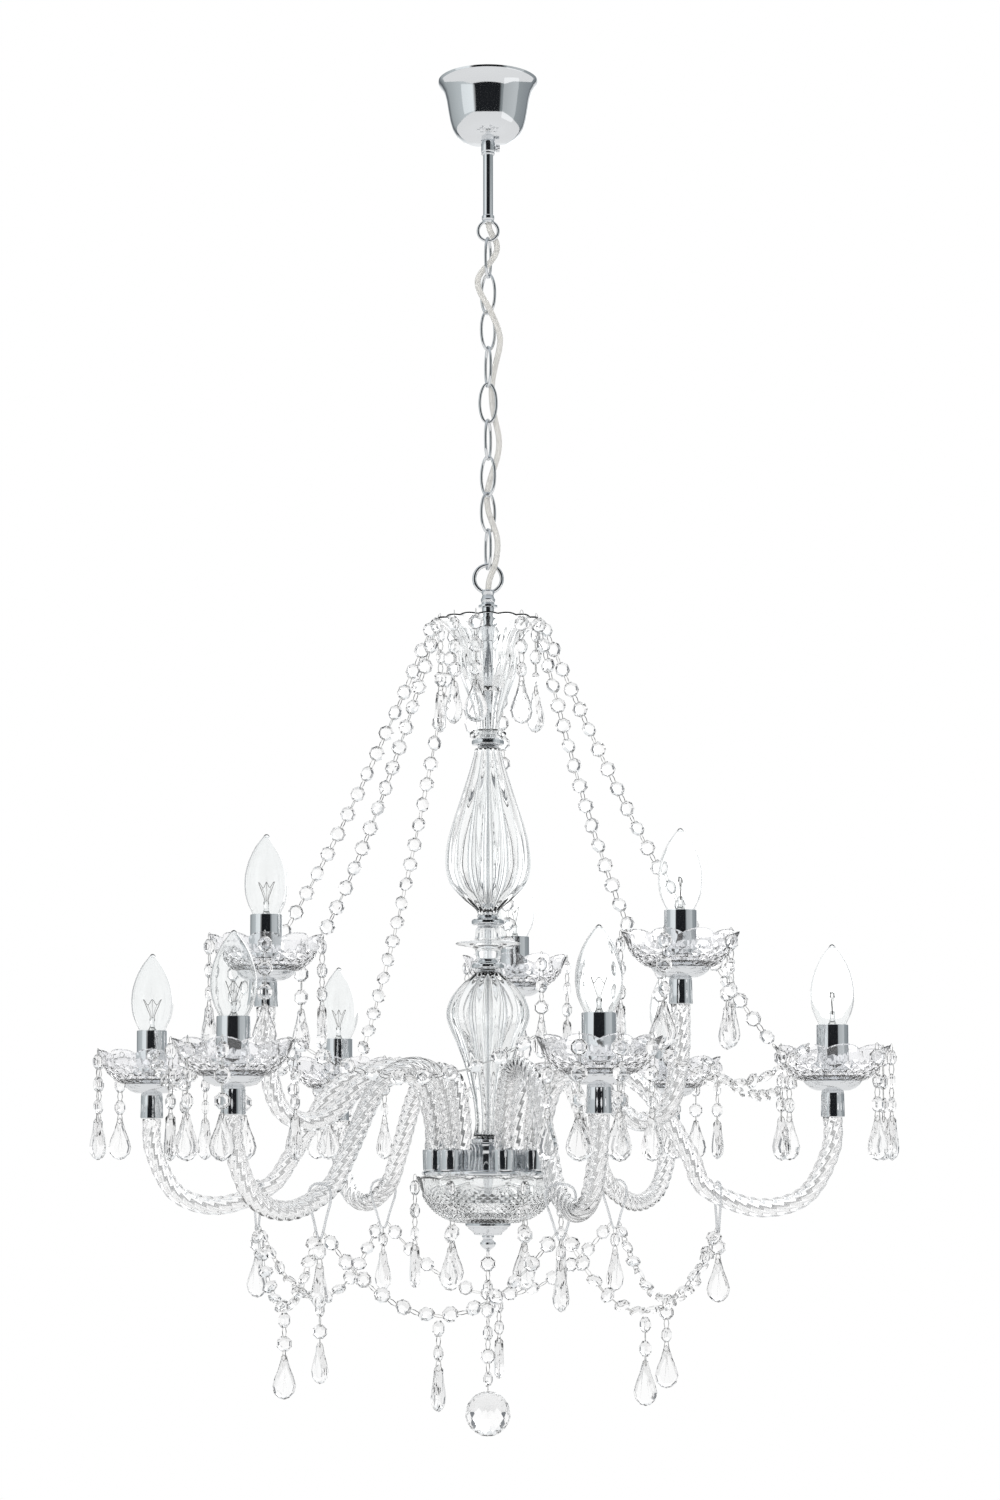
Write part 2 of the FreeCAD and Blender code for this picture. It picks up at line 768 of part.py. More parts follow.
def arm(label, azimuth, start, end, rise, dip):
    """A twisted glass arm in its upright plane, from the hub's cup to the light's, as (radius, height)."""
    line = [(start[0] + out, start[1] + up) for out, up in rise]
    line += [(end[0] - back, start[1] + up) for back, up in dip] + [end]
    curve = Part.BSplineCurve()
    curve.interpolate([around(r, azimuth, h) for r, h in line])
    shape = curve.toShape()
    stations = shape.discretize(Number=round(shape.Length / ARM_STEP))
    radius = size("arm_dia / 2")
    across = around(1, azimuth + 90, 0)
    rings = tube_rings(stations, radius, ARM_SIDES, size("arm_twist"), across)
    for ring, height in ((rings[0], stations[0].z), (rings[-1], stations[-1].z)):
        for corner in ring:
            corner.z = height
    fixed(label, faceted(rings))


def arms(plate):
    """Arms rise from the hub's cups, arch over, dip and turn up into the light's cup."""
    start = (size("hub_cup_circle / 2"), plate + size("hub_height + arm_cup_height"))
    lights = []
    end_level = start[1] + size("lower_light_height")
    for number, (azimuth, short) in enumerate(zip(LOWER_AZIMUTHS, LOWER_SHORT), start=1):
        end = (size("lower_reach") - short, end_level)
        arm(f"lower_arm_{number}", azimuth, start, end, LOWER_RISE, LOWER_DIP)
        lights.append((end[0], azimuth, end_level))
    end = (size("upper_reach"), start[1] + size("upper_light_height"))
    for number, azimuth in enumerate(UPPER_AZIMUTHS, start=1):
        arm(f"upper_arm_{number}", azimuth, start, end, UPPER_RISE, UPPER_DIP)
        lights.append((end[0], azimuth, end[1]))
    return lights


def copies(label, master, places):
    """One node of separate solids: the master's shape at every place."""
    shapes = []
    for place in places:
        shape = master.copy()
        shape.Placement = FreeCAD.Placement(place, FreeCAD.Rotation()).multiply(master.Placement)
        shapes.append(shape)
    return fixed(label, Part.makeCompound(shapes))


CUP_TAPER = 0.9
PAN_FLAT = 0.6  # share of the pan's radius that lies flat


def light_stacks(lights, plate):
    """At each arm's end: a cup, a pan, a bobeche, a sleeve, a lampholder and a bulb."""
    ends = [around(*light) for light in lights]
    hub_circle = size("hub_cup_circle / 2")
    hub_level = plate + size("hub_height")
    cup_bases = [around(hub_circle, azimuth, hub_level) for _, azimuth, _ in lights]
    wide = size("arm_cup_dia / 2")
    narrow = CUP_TAPER * wide
    low_cup = turned([(narrow, 0), (wide, size("arm_cup_height"))], STACK_SIDES)
    high_cup = turned([(wide, 0), (narrow, size("light_cup_height"))], STACK_SIDES)
    cups = [low_cup.copy() for _ in cup_bases] + [high_cup.copy() for _ in ends]
    for cup, place in zip(cups, cup_bases + ends):
        cup.translate(place)
    fixed("arm_cups", Part.makeCompound(cups))

    pan_floor = size("light_cup_height")
    rim = size("pan_dia / 2")
    deep = size("pan_depth")
    wall = size("pan_wall")
    flat = PAN_FLAT * rim
    pan = turned([(flat, 0), (rim, deep), (rim - wall, deep), (flat, wall)], ROUND)
    copies("pans", pan, [end + V(0, 0, pan_floor) for end in ends])

    stand = pan_floor + size("pan_wall")
    wall = size("sleeve_wall")
    outer = size("sleeve_dia / 2")
    tall = size("sleeve_height")
    inner = outer - wall
    sleeve = turned([(outer, 0), (outer, tall), (inner, tall), (inner, 0)], STACK_SIDES, closed=True)
    copies("sleeves", sleeve, [end + V(0, 0, stand) for end in ends])

    holder_height = tall - size("holder_sunk")
    bore = clear_of(size("bulb_cap_dia / 2 + cord_gap"), HOLDER_SIDES)
    floor = holder_height - size("bulb_cap_length + 2 * hanging_gap")
    body = size("lampholder_dia / 2")
    holder = turned([(body, 0), (body, holder_height), (bore, holder_height), (bore, floor)], HOLDER_SIDES)
    copies("lampholders", holder, [end + V(0, 0, stand) for end in ends])

    dish_level = pan_floor + size("pan_depth")
    dish = bobeche()
    dishes = []
    for (_, azimuth, _), end in zip(lights, ends):
        copy = dish.copy()
        copy.rotate(V(), V(0, 0, 1), azimuth - 90)
        copy.translate(end + V(0, 0, dish_level))
        dishes.append(copy)
    fixed("bobeches", Part.makeCompound(dishes))

    glass = bulb()
    seat = stand + holder_height + size("hanging_gap")
    for number, end in enumerate(ends, start=1):
        fixed(f"bulb_{number}", glass.copy(), end + V(0, 0, seat))
    return [end + V(0, 0, dish_level + size("bobeche_depth")) for end in ends]


# The dish's belly: shares of the rim's radius and of the depth, then the scallop's dip there.
BELLY = (0.82, 0.34, 0.03)
DISH_DIP = 0.09
DISH_WAVE = 2.5


def bobeche():
    """A scalloped glass dish of ten lobes, one of them towards +X, that the sleeve stands in."""
    sides = 2 * LOBES
    rim = size("bobeche_dia / 2")
    deep = size("bobeche_depth")
    wall = size("bobeche_wall")
    bore = clear_of(size("sleeve_dia / 2 + seat_gap"), sides)
    foot = size("pan_dia / 2")
    share, up, dip = BELLY
    rings = [circle(bore, 0, sides), circle(foot, 0, sides), circle(share * rim, up * deep, sides, dip)]
    rings.append(circle(rim, deep, sides, DISH_DIP, DISH_WAVE))
    rings.append(circle(share * rim - wall, up * deep + 0.8 * wall, sides, dip))
    rings.append(circle(bore, wall, sides))
    return faceted(rings, closed=True)


# The bulb's shell above its neck: shares of the radius and of the height.
SHELL = [(0.78, 0.12), (1, 0.36), (0.84, 0.62), (0.42, 0.84), (0.14, 0.95)]
BULB_NECK = 0.6


def bulb():
    """A clear candle bulb with its cap, standing on the lampholder at its own origin."""
    radius = size("bulb_dia / 2")
    tall = size("bulb_height + holder_sunk")
    cap = size("bulb_cap_dia / 2")
    rings = [circle(cap, -size("bulb_cap_length"), BULB_SIDES), circle(cap, 0, BULB_SIDES)]
    rings.append(circle(BULB_NECK * radius, 0, BULB_SIDES))
    rings += [circle(share * radius, up * tall, BULB_SIDES) for share, up in SHELL]
    rings.append([V(0, 0, tall)])
    return faceted(rings)


# Crystal dressing


# Corners round the widest level of an almond, as shares of its width and thickness.
ALMOND_CORNERS = [(1, 0), (0.5, 0.8), (-0.5, 0.8), (-1, 0), (-0.5, -0.8), (0.5, -0.8)]
ALMOND_WIDEST = 0.64
ALMOND_EYE = 0.5


def bead():
    """A cut bead with its pins, from the origin down: four long facets above, four below."""
    length = size("bead_pitch - seat_gap")
    wide = size("bead_width / 2")
    thick = size("bead_thick / 2")
    corners = ((wide, 0), (0, thick), (-wide, 0), (0, -thick))
    middle = [V(x, y, -length / 2) for x, y in corners]
    return faceted([[V(0, 0, 0)], middle, [V(0, 0, -length)]])


def almond():
    """A cut almond drop from the origin down, widest below its middle."""
    length = size("almond_length")
    wide = size("almond_width / 2")
    thick = size("almond_thick / 2")
    middle = [V(wide * a, thick * b, -ALMOND_WIDEST * length) for a, b in ALMOND_CORNERS]
    return faceted([[V(0, 0, -ALMOND_EYE)], middle, [V(0, 0, -length)]])


def laid(shape, start, end, azimuth=0.0):
    """The shape, which runs down from its origin, laid from start towards end."""
    down = end - start
    copy = shape.copy()
    turn = FreeCAD.Rotation(V(0, 0, -1), down).multiply(FreeCAD.Rotation(V(0, 0, 1), azimuth))
    copy.Placement = FreeCAD.Placement(start, turn)
    return copy


def drop(place, count, azimuth):
    """Beads straight down from a place, with an almond at the end."""
    levels = [place - V(0, 0, i * size("bead_pitch")) for i in range(count + 1)]
    found = [laid(BEAD, high, low, azimuth) for high, low in zip(levels, levels[1:])]
    return found + [laid(ALMOND, levels[-1], levels[-1] - V(0, 0, 1), azimuth)]


def strand(start, end, sag):
    """An even number of beads end to end along a hanging curve."""
    curve = []
    for i in range(CURVE_SAMPLES + 1):
        share = i / CURVE_SAMPLES
        curve.append(start + (end - start) * share - V(0, 0, 4 * sag * share * (1 - share)))
    line = Part.makePolygon(curve)
    count = 2 * round(line.Length / size("bead_pitch") / 2)
    joints = line.discretize(Number=count + 1)
    found = []
    for a, b in zip(joints, joints[1:]):
        piece = BEAD.copy()
        piece.scale((b - a).Length / size("bead_pitch"))
        found.append(laid(piece, a, b))
    return found


def lobe(azimuth, lobes, first=90.0):
    """The azimuth of the rim's lobe nearest to one asked for. One lobe stands at first."""
    step = 360.0 / lobes
    return first + step * round((azimuth - first) / step)


BEAD = bead()
ALMOND = almond()
CURVE_SAMPLES = 200
RIM_DROP = 0.5  # a drop's top below the rim that it hangs from
DROP_BEADS = 3
PENDANT_BEADS = 2
CHAIN_BEADS = 6
# Lobes of a bobeche that carry a drop, and the two that carry the strands to its neighbours.
LOWER_DROPS = (0, 36, 144, 216, 324)
UPPER_DROPS = (0, 72, 144, 216, 288)
SWAG_LOBE = 108
RING_SAG = 0.16  # shares of a strand's span that it hangs through
LONG_SAG = 0.07


def bobeche_dressing(lower, upper):
    """Drops under the lobes of every bobeche, and strands from each lower bobeche to the next."""
    reach = size("bobeche_dia / 2 + seat_gap")
    drops = []
    for group, turns in ((lower, LOWER_DROPS), (upper, UPPER_DROPS)):
        for (_, azimuth, _), rim in group:
            for turn in turns:
                place = rim + around(reach, azimuth + turn, -RIM_DROP)
                drops += drop(place, DROP_BEADS, azimuth + turn)
    fixed("bobeche_drops", Part.makeCompound(drops))

    swags = []
    for ((_, here, _), rim), ((_, there, _), other) in zip(lower, lower[1:] + lower[:1]):
        start = rim + around(reach, here + SWAG_LOBE, -RIM_DROP)
        end = other + around(reach, there - SWAG_LOBE, -RIM_DROP)
        swags += strand(start, end, RING_SAG * (end - start).Length)
    fixed("bobeche_swags", Part.makeCompound(swags))


def long_strands(lower, upper, dish_rim):
    """Strands from lobes of the top dish down to the inner lobe of a bobeche."""
    top_reach = size("top_dish_rim_dia / 2 + seat_gap")
    taken = []
    strings = []
    for (_, azimuth, _), rim in upper + [lower[i] for i in STRAND_ARMS]:
        taken.append(lobe(azimuth, int(size("flutes"))) % 360)
        start = around(top_reach, taken[-1], dish_rim - RIM_DROP)
        end = rim + around(-size("bobeche_dia / 2"), azimuth, size("cord_gap"))
        strings += strand(start, end, LONG_SAG * (end - start).Length)
    fixed("long_strands", Part.makeCompound(strings))
    return taken


def short_drops(taken, dish_rim, bowl_rim):
    """Drops round the top dish, from the lobes that no strand uses, and round the bowl."""
    drops = []
    flutes = int(size("flutes"))
    for number in range(flutes):
        azimuth = (90 + 360 * number / flutes) % 360
        if all(abs(azimuth - other) > 1 for other in taken) and number % 3 != 2:
            place = around(size("top_dish_rim_dia / 2 + seat_gap"), azimuth, dish_rim - RIM_DROP)
            drops += drop(place, DROP_BEADS, azimuth)
    for azimuth in range(30, 390, 60):
        place = around(size("bowl_dia / 2 + cord_gap"), azimuth, bowl_rim - RIM_DROP)
        drops += drop(place, DROP_BEADS, azimuth)
    fixed("short_drops", Part.makeCompound(drops))


# One half of a hook's drop-shaped loop: shares of half its width, and depths below its crown.
HOOK_CROWN = [(0.8, 3), (1, 10), (0.72, 22)]
HOOK_FOOT = 3.5  # half the gap between its legs, just above its tip
HOOK_TIP = 2
HOOK_SIDES = 4
FOOT_RISE = 4  # the strands leave the legs this far above the tip
HOOK_TURNS = [0, 20, 0, 0, 0, 0]  # how far each has swung round from square to its arm


def hooks_and_swags(lights, arm_start):
    """Clear hooks over the lower arms, and strands with pendants from each hook to the next."""
    wide = size("hook_width / 2")
    tall = size("hook_height")
    clear = HOOK_FOOT + size("hook_wire / 2 + seat_gap")
    half = [(share * wide, -depth) for share, depth in HOOK_CROWN]
    half += [(HOOK_FOOT, FOOT_RISE - tall), (HOOK_TIP, -tall)]
    path = [V()] + [V(x, 0, z) for x, z in half] + [V(-x, 0, z) for x, z in reversed(half)]
    hook = wire_loop(path, size("hook_wire"), HOOK_SIDES)
    hooks = []
    crowns = []
    for (reach, azimuth, _), turn in zip(lights, HOOK_TURNS):
        crown = around(reach - size("hook_from_light"), azimuth, arm_start - size("hook_below_start"))
        shape = hook.copy()
        shape.Placement = FreeCAD.Placement(crown, FreeCAD.Rotation(V(0, 0, 1), azimuth + turn))
        hooks.append(shape)
        crowns.append((azimuth + turn, crown))
    fixed("arm_hooks", Part.makeCompound(hooks))

    beads = []
    pendant_top = size("swag_sag + cord_gap")
    for (facing, here), (following, there) in zip(crowns, crowns[1:] + crowns[:1]):
        start = here + around(clear, facing + 90, FOOT_RISE - tall)
        end = there + around(clear, following - 90, FOOT_RISE - tall)
        beads += strand(start, end, size("swag_sag"))
        middle = (start + end) * 0.5 - V(0, 0, pendant_top)
        across = math.degrees(math.atan2(end.y - start.y, end.x - start.x))
        beads += drop(middle, PENDANT_BEADS, across + 90)
        under = here - V(0, 0, tall + size("hook_wire / 2 + seat_gap"))
        beads += drop(under, 1, facing + 90)
    fixed("lower_swags", Part.makeCompound(beads))


# The ball's rings of corners: shares of the radius out and up, and where each ring starts.
BALL_RINGS = [(0.6, 0.78, 0), (0.97, 0.3, 0.5), (0.97, -0.3, 0), (0.6, -0.78, 0.5)]


def ball_drop(finial_tip):
    """The chain of beads under the finial and the cut ball at its end."""
    start = V(0, 0, finial_tip - size("cord_gap"))
    levels = [start - V(0, 0, i * size("bead_pitch")) for i in range(CHAIN_BEADS + 1)]
    beads = [laid(BEAD, high, low, 90 * i) for i, (high, low) in enumerate(zip(levels, levels[1:]))]
    fixed("ball_chain", Part.makeCompound(beads))
    top = levels[-1].z - size("cord_gap")
    radius = size("ball_dia / 2")
    rings = [[V(0, 0, radius)]]
    for share, up, phase in BALL_RINGS:
        rings.append(circle(share * radius, up * radius, BALL_SIDES, phase=phase))
    fixed("crystal_ball", faceted(rings + [[V(0, 0, -radius)]]), V(0, 0, top - radius))
    return start.z, top


ceiling_bracket()
stem()
terminal_block()
ceiling_cup()
collar_and_screw()
loop_wire_level = stem_loop()
last_wire, pivot_levels = chain(loop_wire_level)
top_of_rod = body_ring(last_wire)
flex()
hub_top = column(top_of_rod)
plate_level = hub(hub_top)
bowl_base, finial_tip = bowl_and_finial(plate_level, top_of_rod)
light_places = arms(plate_level)
rim_places = light_stacks(light_places, plate_level)
arm_start = plate_level + size("hub_height + arm_cup_height")
dish_rim = top_of_rod - size("top_dish_drop")
lamps = list(zip(light_places, rim_places))
lower_lamps = lamps[: len(LOWER_AZIMUTHS)]
upper_lamps = lamps[len(LOWER_AZIMUTHS) :]
bobeche_dressing(lower_lamps, upper_lamps)
short_drops(long_strands(lower_lamps, upper_lamps, dish_rim), dish_rim, plate_level)
hooks_and_swags(light_places[: len(LOWER_AZIMUTHS)], arm_start)
chain_top, ball_top = ball_drop(finial_tip)
print("pivots", [round(p, 3) for p in pivot_levels], "ball chain", chain_top, "ball", ball_top)
print("levels: rod", top_of_rod, "hub plate", plate_level, "bowl", bowl_base, "finial tip", finial_tip)

doc.recompute()
for thing in doc.Objects:
    if "Invalid" in thing.State or "Error" in thing.State:
        raise RuntimeError(f"{thing.Label}: {thing.State}")

os.makedirs("parts", exist_ok=True)
for piece in pieces:
    shape = piece.Shape
    if shape.isNull() or not shape.isValid():
        raise RuntimeError(f"{piece.Label} has no valid shape")
    shape.exportStep(f"parts/{piece.Label}.step")
print(len(pieces), "pieces")
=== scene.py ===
# %% [markdown]
# # A crystal chandelier, finished in Blender
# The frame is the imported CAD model: every plain solid already has its place, its size and the
# body that it moves with. This lesson dresses that frame. Each piece is modelled again with the
# detail that the real one has, stands where its solid stands, and rides on the same body.

import json
import math

import bmesh
import bpy
from mathutils import Matrix, Vector
from mathutils.kdtree import KDTree


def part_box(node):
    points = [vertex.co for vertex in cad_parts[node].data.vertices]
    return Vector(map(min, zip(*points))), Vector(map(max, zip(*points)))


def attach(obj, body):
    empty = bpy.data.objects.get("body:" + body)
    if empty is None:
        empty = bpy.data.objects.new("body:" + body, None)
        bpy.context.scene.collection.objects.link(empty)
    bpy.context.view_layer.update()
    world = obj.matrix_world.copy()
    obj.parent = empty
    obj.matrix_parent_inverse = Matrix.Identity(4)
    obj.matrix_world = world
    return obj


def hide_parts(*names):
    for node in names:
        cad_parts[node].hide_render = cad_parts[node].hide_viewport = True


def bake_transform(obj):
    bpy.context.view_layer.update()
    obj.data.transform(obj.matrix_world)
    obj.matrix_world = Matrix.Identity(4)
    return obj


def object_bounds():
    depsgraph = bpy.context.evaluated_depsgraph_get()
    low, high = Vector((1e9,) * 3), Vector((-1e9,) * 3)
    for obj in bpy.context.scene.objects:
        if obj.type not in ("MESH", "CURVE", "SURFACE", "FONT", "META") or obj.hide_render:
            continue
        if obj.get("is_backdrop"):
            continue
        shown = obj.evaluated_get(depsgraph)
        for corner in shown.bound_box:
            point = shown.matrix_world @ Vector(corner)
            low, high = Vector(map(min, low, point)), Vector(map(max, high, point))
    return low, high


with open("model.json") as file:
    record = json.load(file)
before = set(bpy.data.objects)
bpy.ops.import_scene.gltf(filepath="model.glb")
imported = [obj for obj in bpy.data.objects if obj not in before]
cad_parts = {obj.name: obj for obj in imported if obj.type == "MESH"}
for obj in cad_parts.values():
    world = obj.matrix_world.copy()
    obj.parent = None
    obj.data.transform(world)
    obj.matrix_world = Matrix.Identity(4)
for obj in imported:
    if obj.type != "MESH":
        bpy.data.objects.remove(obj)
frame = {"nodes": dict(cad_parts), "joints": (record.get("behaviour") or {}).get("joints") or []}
CAD_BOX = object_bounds()
MM = 0.001

# %% [markdown]
# ## The camera
# The photograph was taken from about 2.5 m away, a little below the lights, so the upper arms show
# their undersides. Its upright lines stay parallel, which says that the camera stood nearly level
# and that the lens was shifted up to take in the ceiling cup. The length of the lens follows from
# the bulbs' sizes near and far: the nearest light looks only a quarter larger than the farthest.

# %% Camera
CAMERA_DISTANCE = 2.5
CAMERA_HEIGHT = -0.88
CAMERA_TILT = 2.5
LENS_SHIFT = 0.177
SENSOR = 36
FOCAL_PIXELS = 3075
PHOTO_SIZE = (1000, 1500)
AXIS_PIXEL = 488.0

camera_data = bpy.data.cameras.new("camera")
camera_data.sensor_fit = "VERTICAL"
camera_data.sensor_height = SENSOR
camera_data.lens = SENSOR * FOCAL_PIXELS / PHOTO_SIZE[1]
camera_data.shift_y = LENS_SHIFT
camera = bpy.data.objects.new("camera", camera_data)
sideways = (PHOTO_SIZE[0] / 2 - AXIS_PIXEL) * CAMERA_DISTANCE / FOCAL_PIXELS
camera.location = (sideways, -CAMERA_DISTANCE, CAMERA_HEIGHT)
camera.rotation_euler = (math.radians(90 + CAMERA_TILT), 0, 0)
bpy.context.collection.objects.link(camera)
bpy.context.scene.camera = camera
print("camera at", [round(v, 3) for v in camera.location], "lens", round(camera_data.lens, 1), "mm")

# %% [markdown]
# ## Colours, nodes and uneven surfaces
# Artists pick colours as sRGB hex values, while Blender's sockets take linear light. One function
# turns the one into the other. A second adds a node with its settings, its values and its links,
# so that a material reads as a short list. No real surface is quite even, so grain makes a noise
# whose lumps have a size in millimetres, and vary lets it change the gloss, the colour or the
# relief of a finish.

# %% Helpers for materials


def linear(hexcode):
    """An sRGB hex colour as linear red, green, blue and alpha."""
    parts = [int(hexcode[i : i + 2], 16) / 255 for i in (1, 3, 5)]
    return [p / 12.92 if p <= 0.04045 else ((p + 0.055) / 1.055) ** 2.4 for p in parts] + [1.0]


def add(tree, kind, settings=None, values=None, links=None):
    """A new node with its settings, its unlinked values and its incoming links."""
    node = tree.nodes.new(kind)
    for name, value in (settings or {}).items():
        setattr(node, name, value)
    for name, value in (values or {}).items():
        node.inputs[name].default_value = value
    for name, source in (links or {}).items():
        tree.links.new(source, node.inputs[name])
    return node


def new_finish(name, **values):
    """A material with one Principled shader, and its tree, for the cells below to work on."""
    material = bpy.data.materials.new(name)
    material.use_nodes = True
    tree = material.node_tree
    tree.nodes.clear()
    shader = add(tree, "ShaderNodeBsdfPrincipled")
    for word, value in values.items():
        shader.inputs[word.replace("_", " ")].default_value = value
    add(tree, "ShaderNodeOutputMaterial", links={"Surface": shader.outputs["BSDF"]})
    print("finish:", name)
    return material, tree, shader


def grain(tree, size_mm, detail=2.0, stretch=(1, 1, 1)):
    """Noise on Object coordinates whose lumps are size_mm across."""
    place = add(tree, "ShaderNodeTexCoord").outputs["Object"]
    scaled = add(tree, "ShaderNodeMapping", values={"Scale": stretch}, links={"Vector": place})
    values = {"Scale": 1 / (size_mm * MM), "Detail": detail}
    links = {"Vector": scaled.outputs["Vector"]}
    return add(tree, "ShaderNodeTexNoise", values=values, links=links).outputs["Fac"]


def vary(tree, shader, pattern, gloss=None, tones=None, depth_mm=0, strength=1.0):
    """Lets a pattern's value change the roughness, the colour or the relief between two limits."""
    if gloss:
        values = {"To Min": gloss[0], "To Max": gloss[1]}
        rough = add(tree, "ShaderNodeMapRange", values=values, links={"Value": pattern})
        tree.links.new(rough.outputs["Result"], shader.inputs["Roughness"])
    if tones:
        ramp = add(tree, "ShaderNodeValToRGB", links={"Fac": pattern})
        for element, colour in zip(ramp.color_ramp.elements, tones):
            element.color = linear(colour)
        tree.links.new(ramp.outputs["Color"], shader.inputs["Base Color"])
    if depth_mm:
        values = {"Distance": depth_mm * MM, "Strength": strength}
        bump = add(tree, "ShaderNodeBump", values=values, links={"Height": pattern})
        tree.links.new(bump.outputs["Normal"], shader.inputs["Normal"])


# %% [markdown]
# ## Chrome
# Chandelier fittings are brass or steel pressings, polished and plated with nickel and then
# chrome. Chrome has hardly any colour of its own, a trace of blue, and mirrors the room. What
# tells it from a mirror is a faint waviness of the pressing and a little haze from handling,
# so the roughness changes softly over some 20 mm and a shallow relief bends the reflections.

# %% Chrome
chrome, tree, shader = new_finish(
    "polished_chrome_plate", Base_Color=linear("#E6E8EA"), Metallic=1.0, Roughness=0.06
)
vary(tree, shader, grain(tree, 22, 3), gloss=(0.03, 0.12))
vary(tree, shader, grain(tree, 14, 1), depth_mm=0.05, strength=0.35)

# %% [markdown]
# ## Nickel wire
# The pins and rings between the crystals are bent from soft nickel-plated wire under a
# millimetre thick. They are duller than the chrome, with a warm trace and small drawing marks.
# The marks are drawn 1.5 mm long, coarser than the real ones, or they would vanish.

# %% Nickel wire
nickel_wire, tree, shader = new_finish(
    "nickel_plated_wire", Base_Color=linear("#D9D8D6"), Metallic=1.0, Roughness=0.18
)
vary(tree, shader, grain(tree, 1.5, 2), gloss=(0.12, 0.26))

# %% [markdown]
# ## Zinc-plated steel
# The strap and its nut hide inside the ceiling cup. They are plain steel with a zinc coat, whose
# crystals make a mottle of lighter and darker grey some 6 mm across. A cell pattern has the same
# straight borders as such crystals, which a soft noise would lack.

# %% Zinc-plated steel
CRYSTAL_SIZE = 6
zinc_steel, tree, shader = new_finish(
    "zinc_plated_steel", Base_Color=linear("#A9ADB2"), Metallic=1.0, Roughness=0.35
)
place = add(tree, "ShaderNodeTexCoord").outputs["Object"]
values = {"Scale": 1 / (CRYSTAL_SIZE * MM)}
cells = add(tree, "ShaderNodeTexVoronoi", values=values, links={"Vector": place})
vary(tree, shader, cells.outputs["Distance"], gloss=(0.28, 0.42), tones=("#9CA1A7", "#B9BDC1"))

# %% [markdown]
# ## Kinds of glass
# Cast glass, for the arms, the bowl, the dishes and the turnings, was pressed or drawn while soft:
# it is glossy but gently wavy. Crystal was cut and polished, so its faces are flat. The bulbs are
# blown soda glass, thin and even. One clear shader could serve all of them, but the eye tells them
# apart by their index, which says how strongly an edge bends light, and by the size and depth of
# their waves. In the cut dishes and the bowl thousands of small edges also scatter a little of the
# light, so a few hundredths of their shader are plain white.

# %% Glass


def new_glass(name, colour, index, wave_mm, depth_mm, strength, clear=1.0):
    """A glossy glass with shallow waves. clear is the share of the light that passes into it."""
    glass, tree, shader = new_finish(
        name, Base_Color=linear(colour), Transmission_Weight=clear, Roughness=0.0, IOR=index
    )
    vary(tree, shader, grain(tree, wave_mm, 1), depth_mm=depth_mm, strength=strength)
    return glass


cast_glass = new_glass("pressed_clear_glass", "#FEFFFF", 1.5, 14, 0.06, 0.2)
pattern_glass = new_glass("pressed_patterned_glass", "#FEFEFF", 1.5, 8, 0.05, 0.2, clear=0.96)
bowl_glass = new_glass("pressed_heavy_glass", "#FEFFFF", 1.5, 12, 0.05, 0.2, clear=0.97)
twisted_glass = new_glass("twisted_cast_glass", "#FFFFFF", 1.47, 8, 0.06, 0.25)
cut_crystal = new_glass("cut_polished_crystal", "#FFFFFF", 1.51, 3, 0.02, 0.4)
bulb_glass = new_glass("blown_bulb_glass", "#FBFCFC", 1.46, 25, 0.03, 0.1)

# %% [markdown]
# ## Leads
# The lead in the chain is clear PVC round a tinned stranded conductor, so it looks milky, with
# faint streaks along it. The leads inside the arms are single wires in white PVC.

# %% Leads
clear_lead, tree, shader = new_finish(
    "clear_pvc_lead",
    Base_Color=linear("#E8E5DE"),
    Roughness=0.28,
    Transmission_Weight=0.35,
    IOR=1.5,
    Subsurface_Weight=0.2,
    Subsurface_Radius=(0.003, 0.003, 0.003),
    Subsurface_Scale=1.0,
)
strands = grain(tree, 1.6, 1, stretch=(1, 1, 0.25))
vary(tree, shader, strands, tones=("#DEDCD6", "#FAF9F6"), depth_mm=0.1, strength=0.3)

white_lead, tree, shader = new_finish("white_pvc_lead", Base_Color=linear("#FBFBFB"), Roughness=0.4)
vary(tree, shader, grain(tree, 3, 1), tones=("#F8F8F8", "#FFFFFF"))

# %% [markdown]
# ## Plastics and filament
# The hooks over the arms are moulded clear acrylic. The terminal block and the lampholders are
# ivory moulded plastic with a fine satin grain. The bulbs' filaments are dark drawn tungsten, whose
# oxide makes them unevenly dull.

# %% Plastics and filament
clear_plastic, tree, shader = new_finish(
    "moulded_clear_plastic",
    Base_Color=linear("#EEF0F2"),
    Roughness=0.08,
    IOR=1.49,
    Transmission_Weight=0.7,
)
vary(tree, shader, grain(tree, 4, 1), depth_mm=0.05, strength=0.4)

ivory_plastic, tree, shader = new_finish(
    "moulded_ivory_plastic", Base_Color=linear("#E9E7DE"), Roughness=0.45, IOR=1.53
)
vary(tree, shader, grain(tree, 0.8, 3), gloss=(0.38, 0.55), depth_mm=0.03, strength=0.5)

tungsten, tree, shader = new_finish(
    "drawn_tungsten", Base_Color=linear("#5A5856"), Metallic=1.0, Roughness=0.35
)
vary(tree, shader, grain(tree, 2, 2), gloss=(0.25, 0.5))

# %% [markdown]
# ## Helpers for shapes
# Everything below is drawn in millimetres, as on a workshop sketch, and turned into metres in one
# place. A turning is an outline of radius and height spun about the stem's line. A sweep carries
# a small ring of points along a path, and can twist it on the way, as a glassmaker twists a rod.
# Where a shape comes back to its own start, points less than a thousandth of a millimetre apart
# are merged, or its seam would stay open.

# %% Shape helpers
SEAM = 0.001


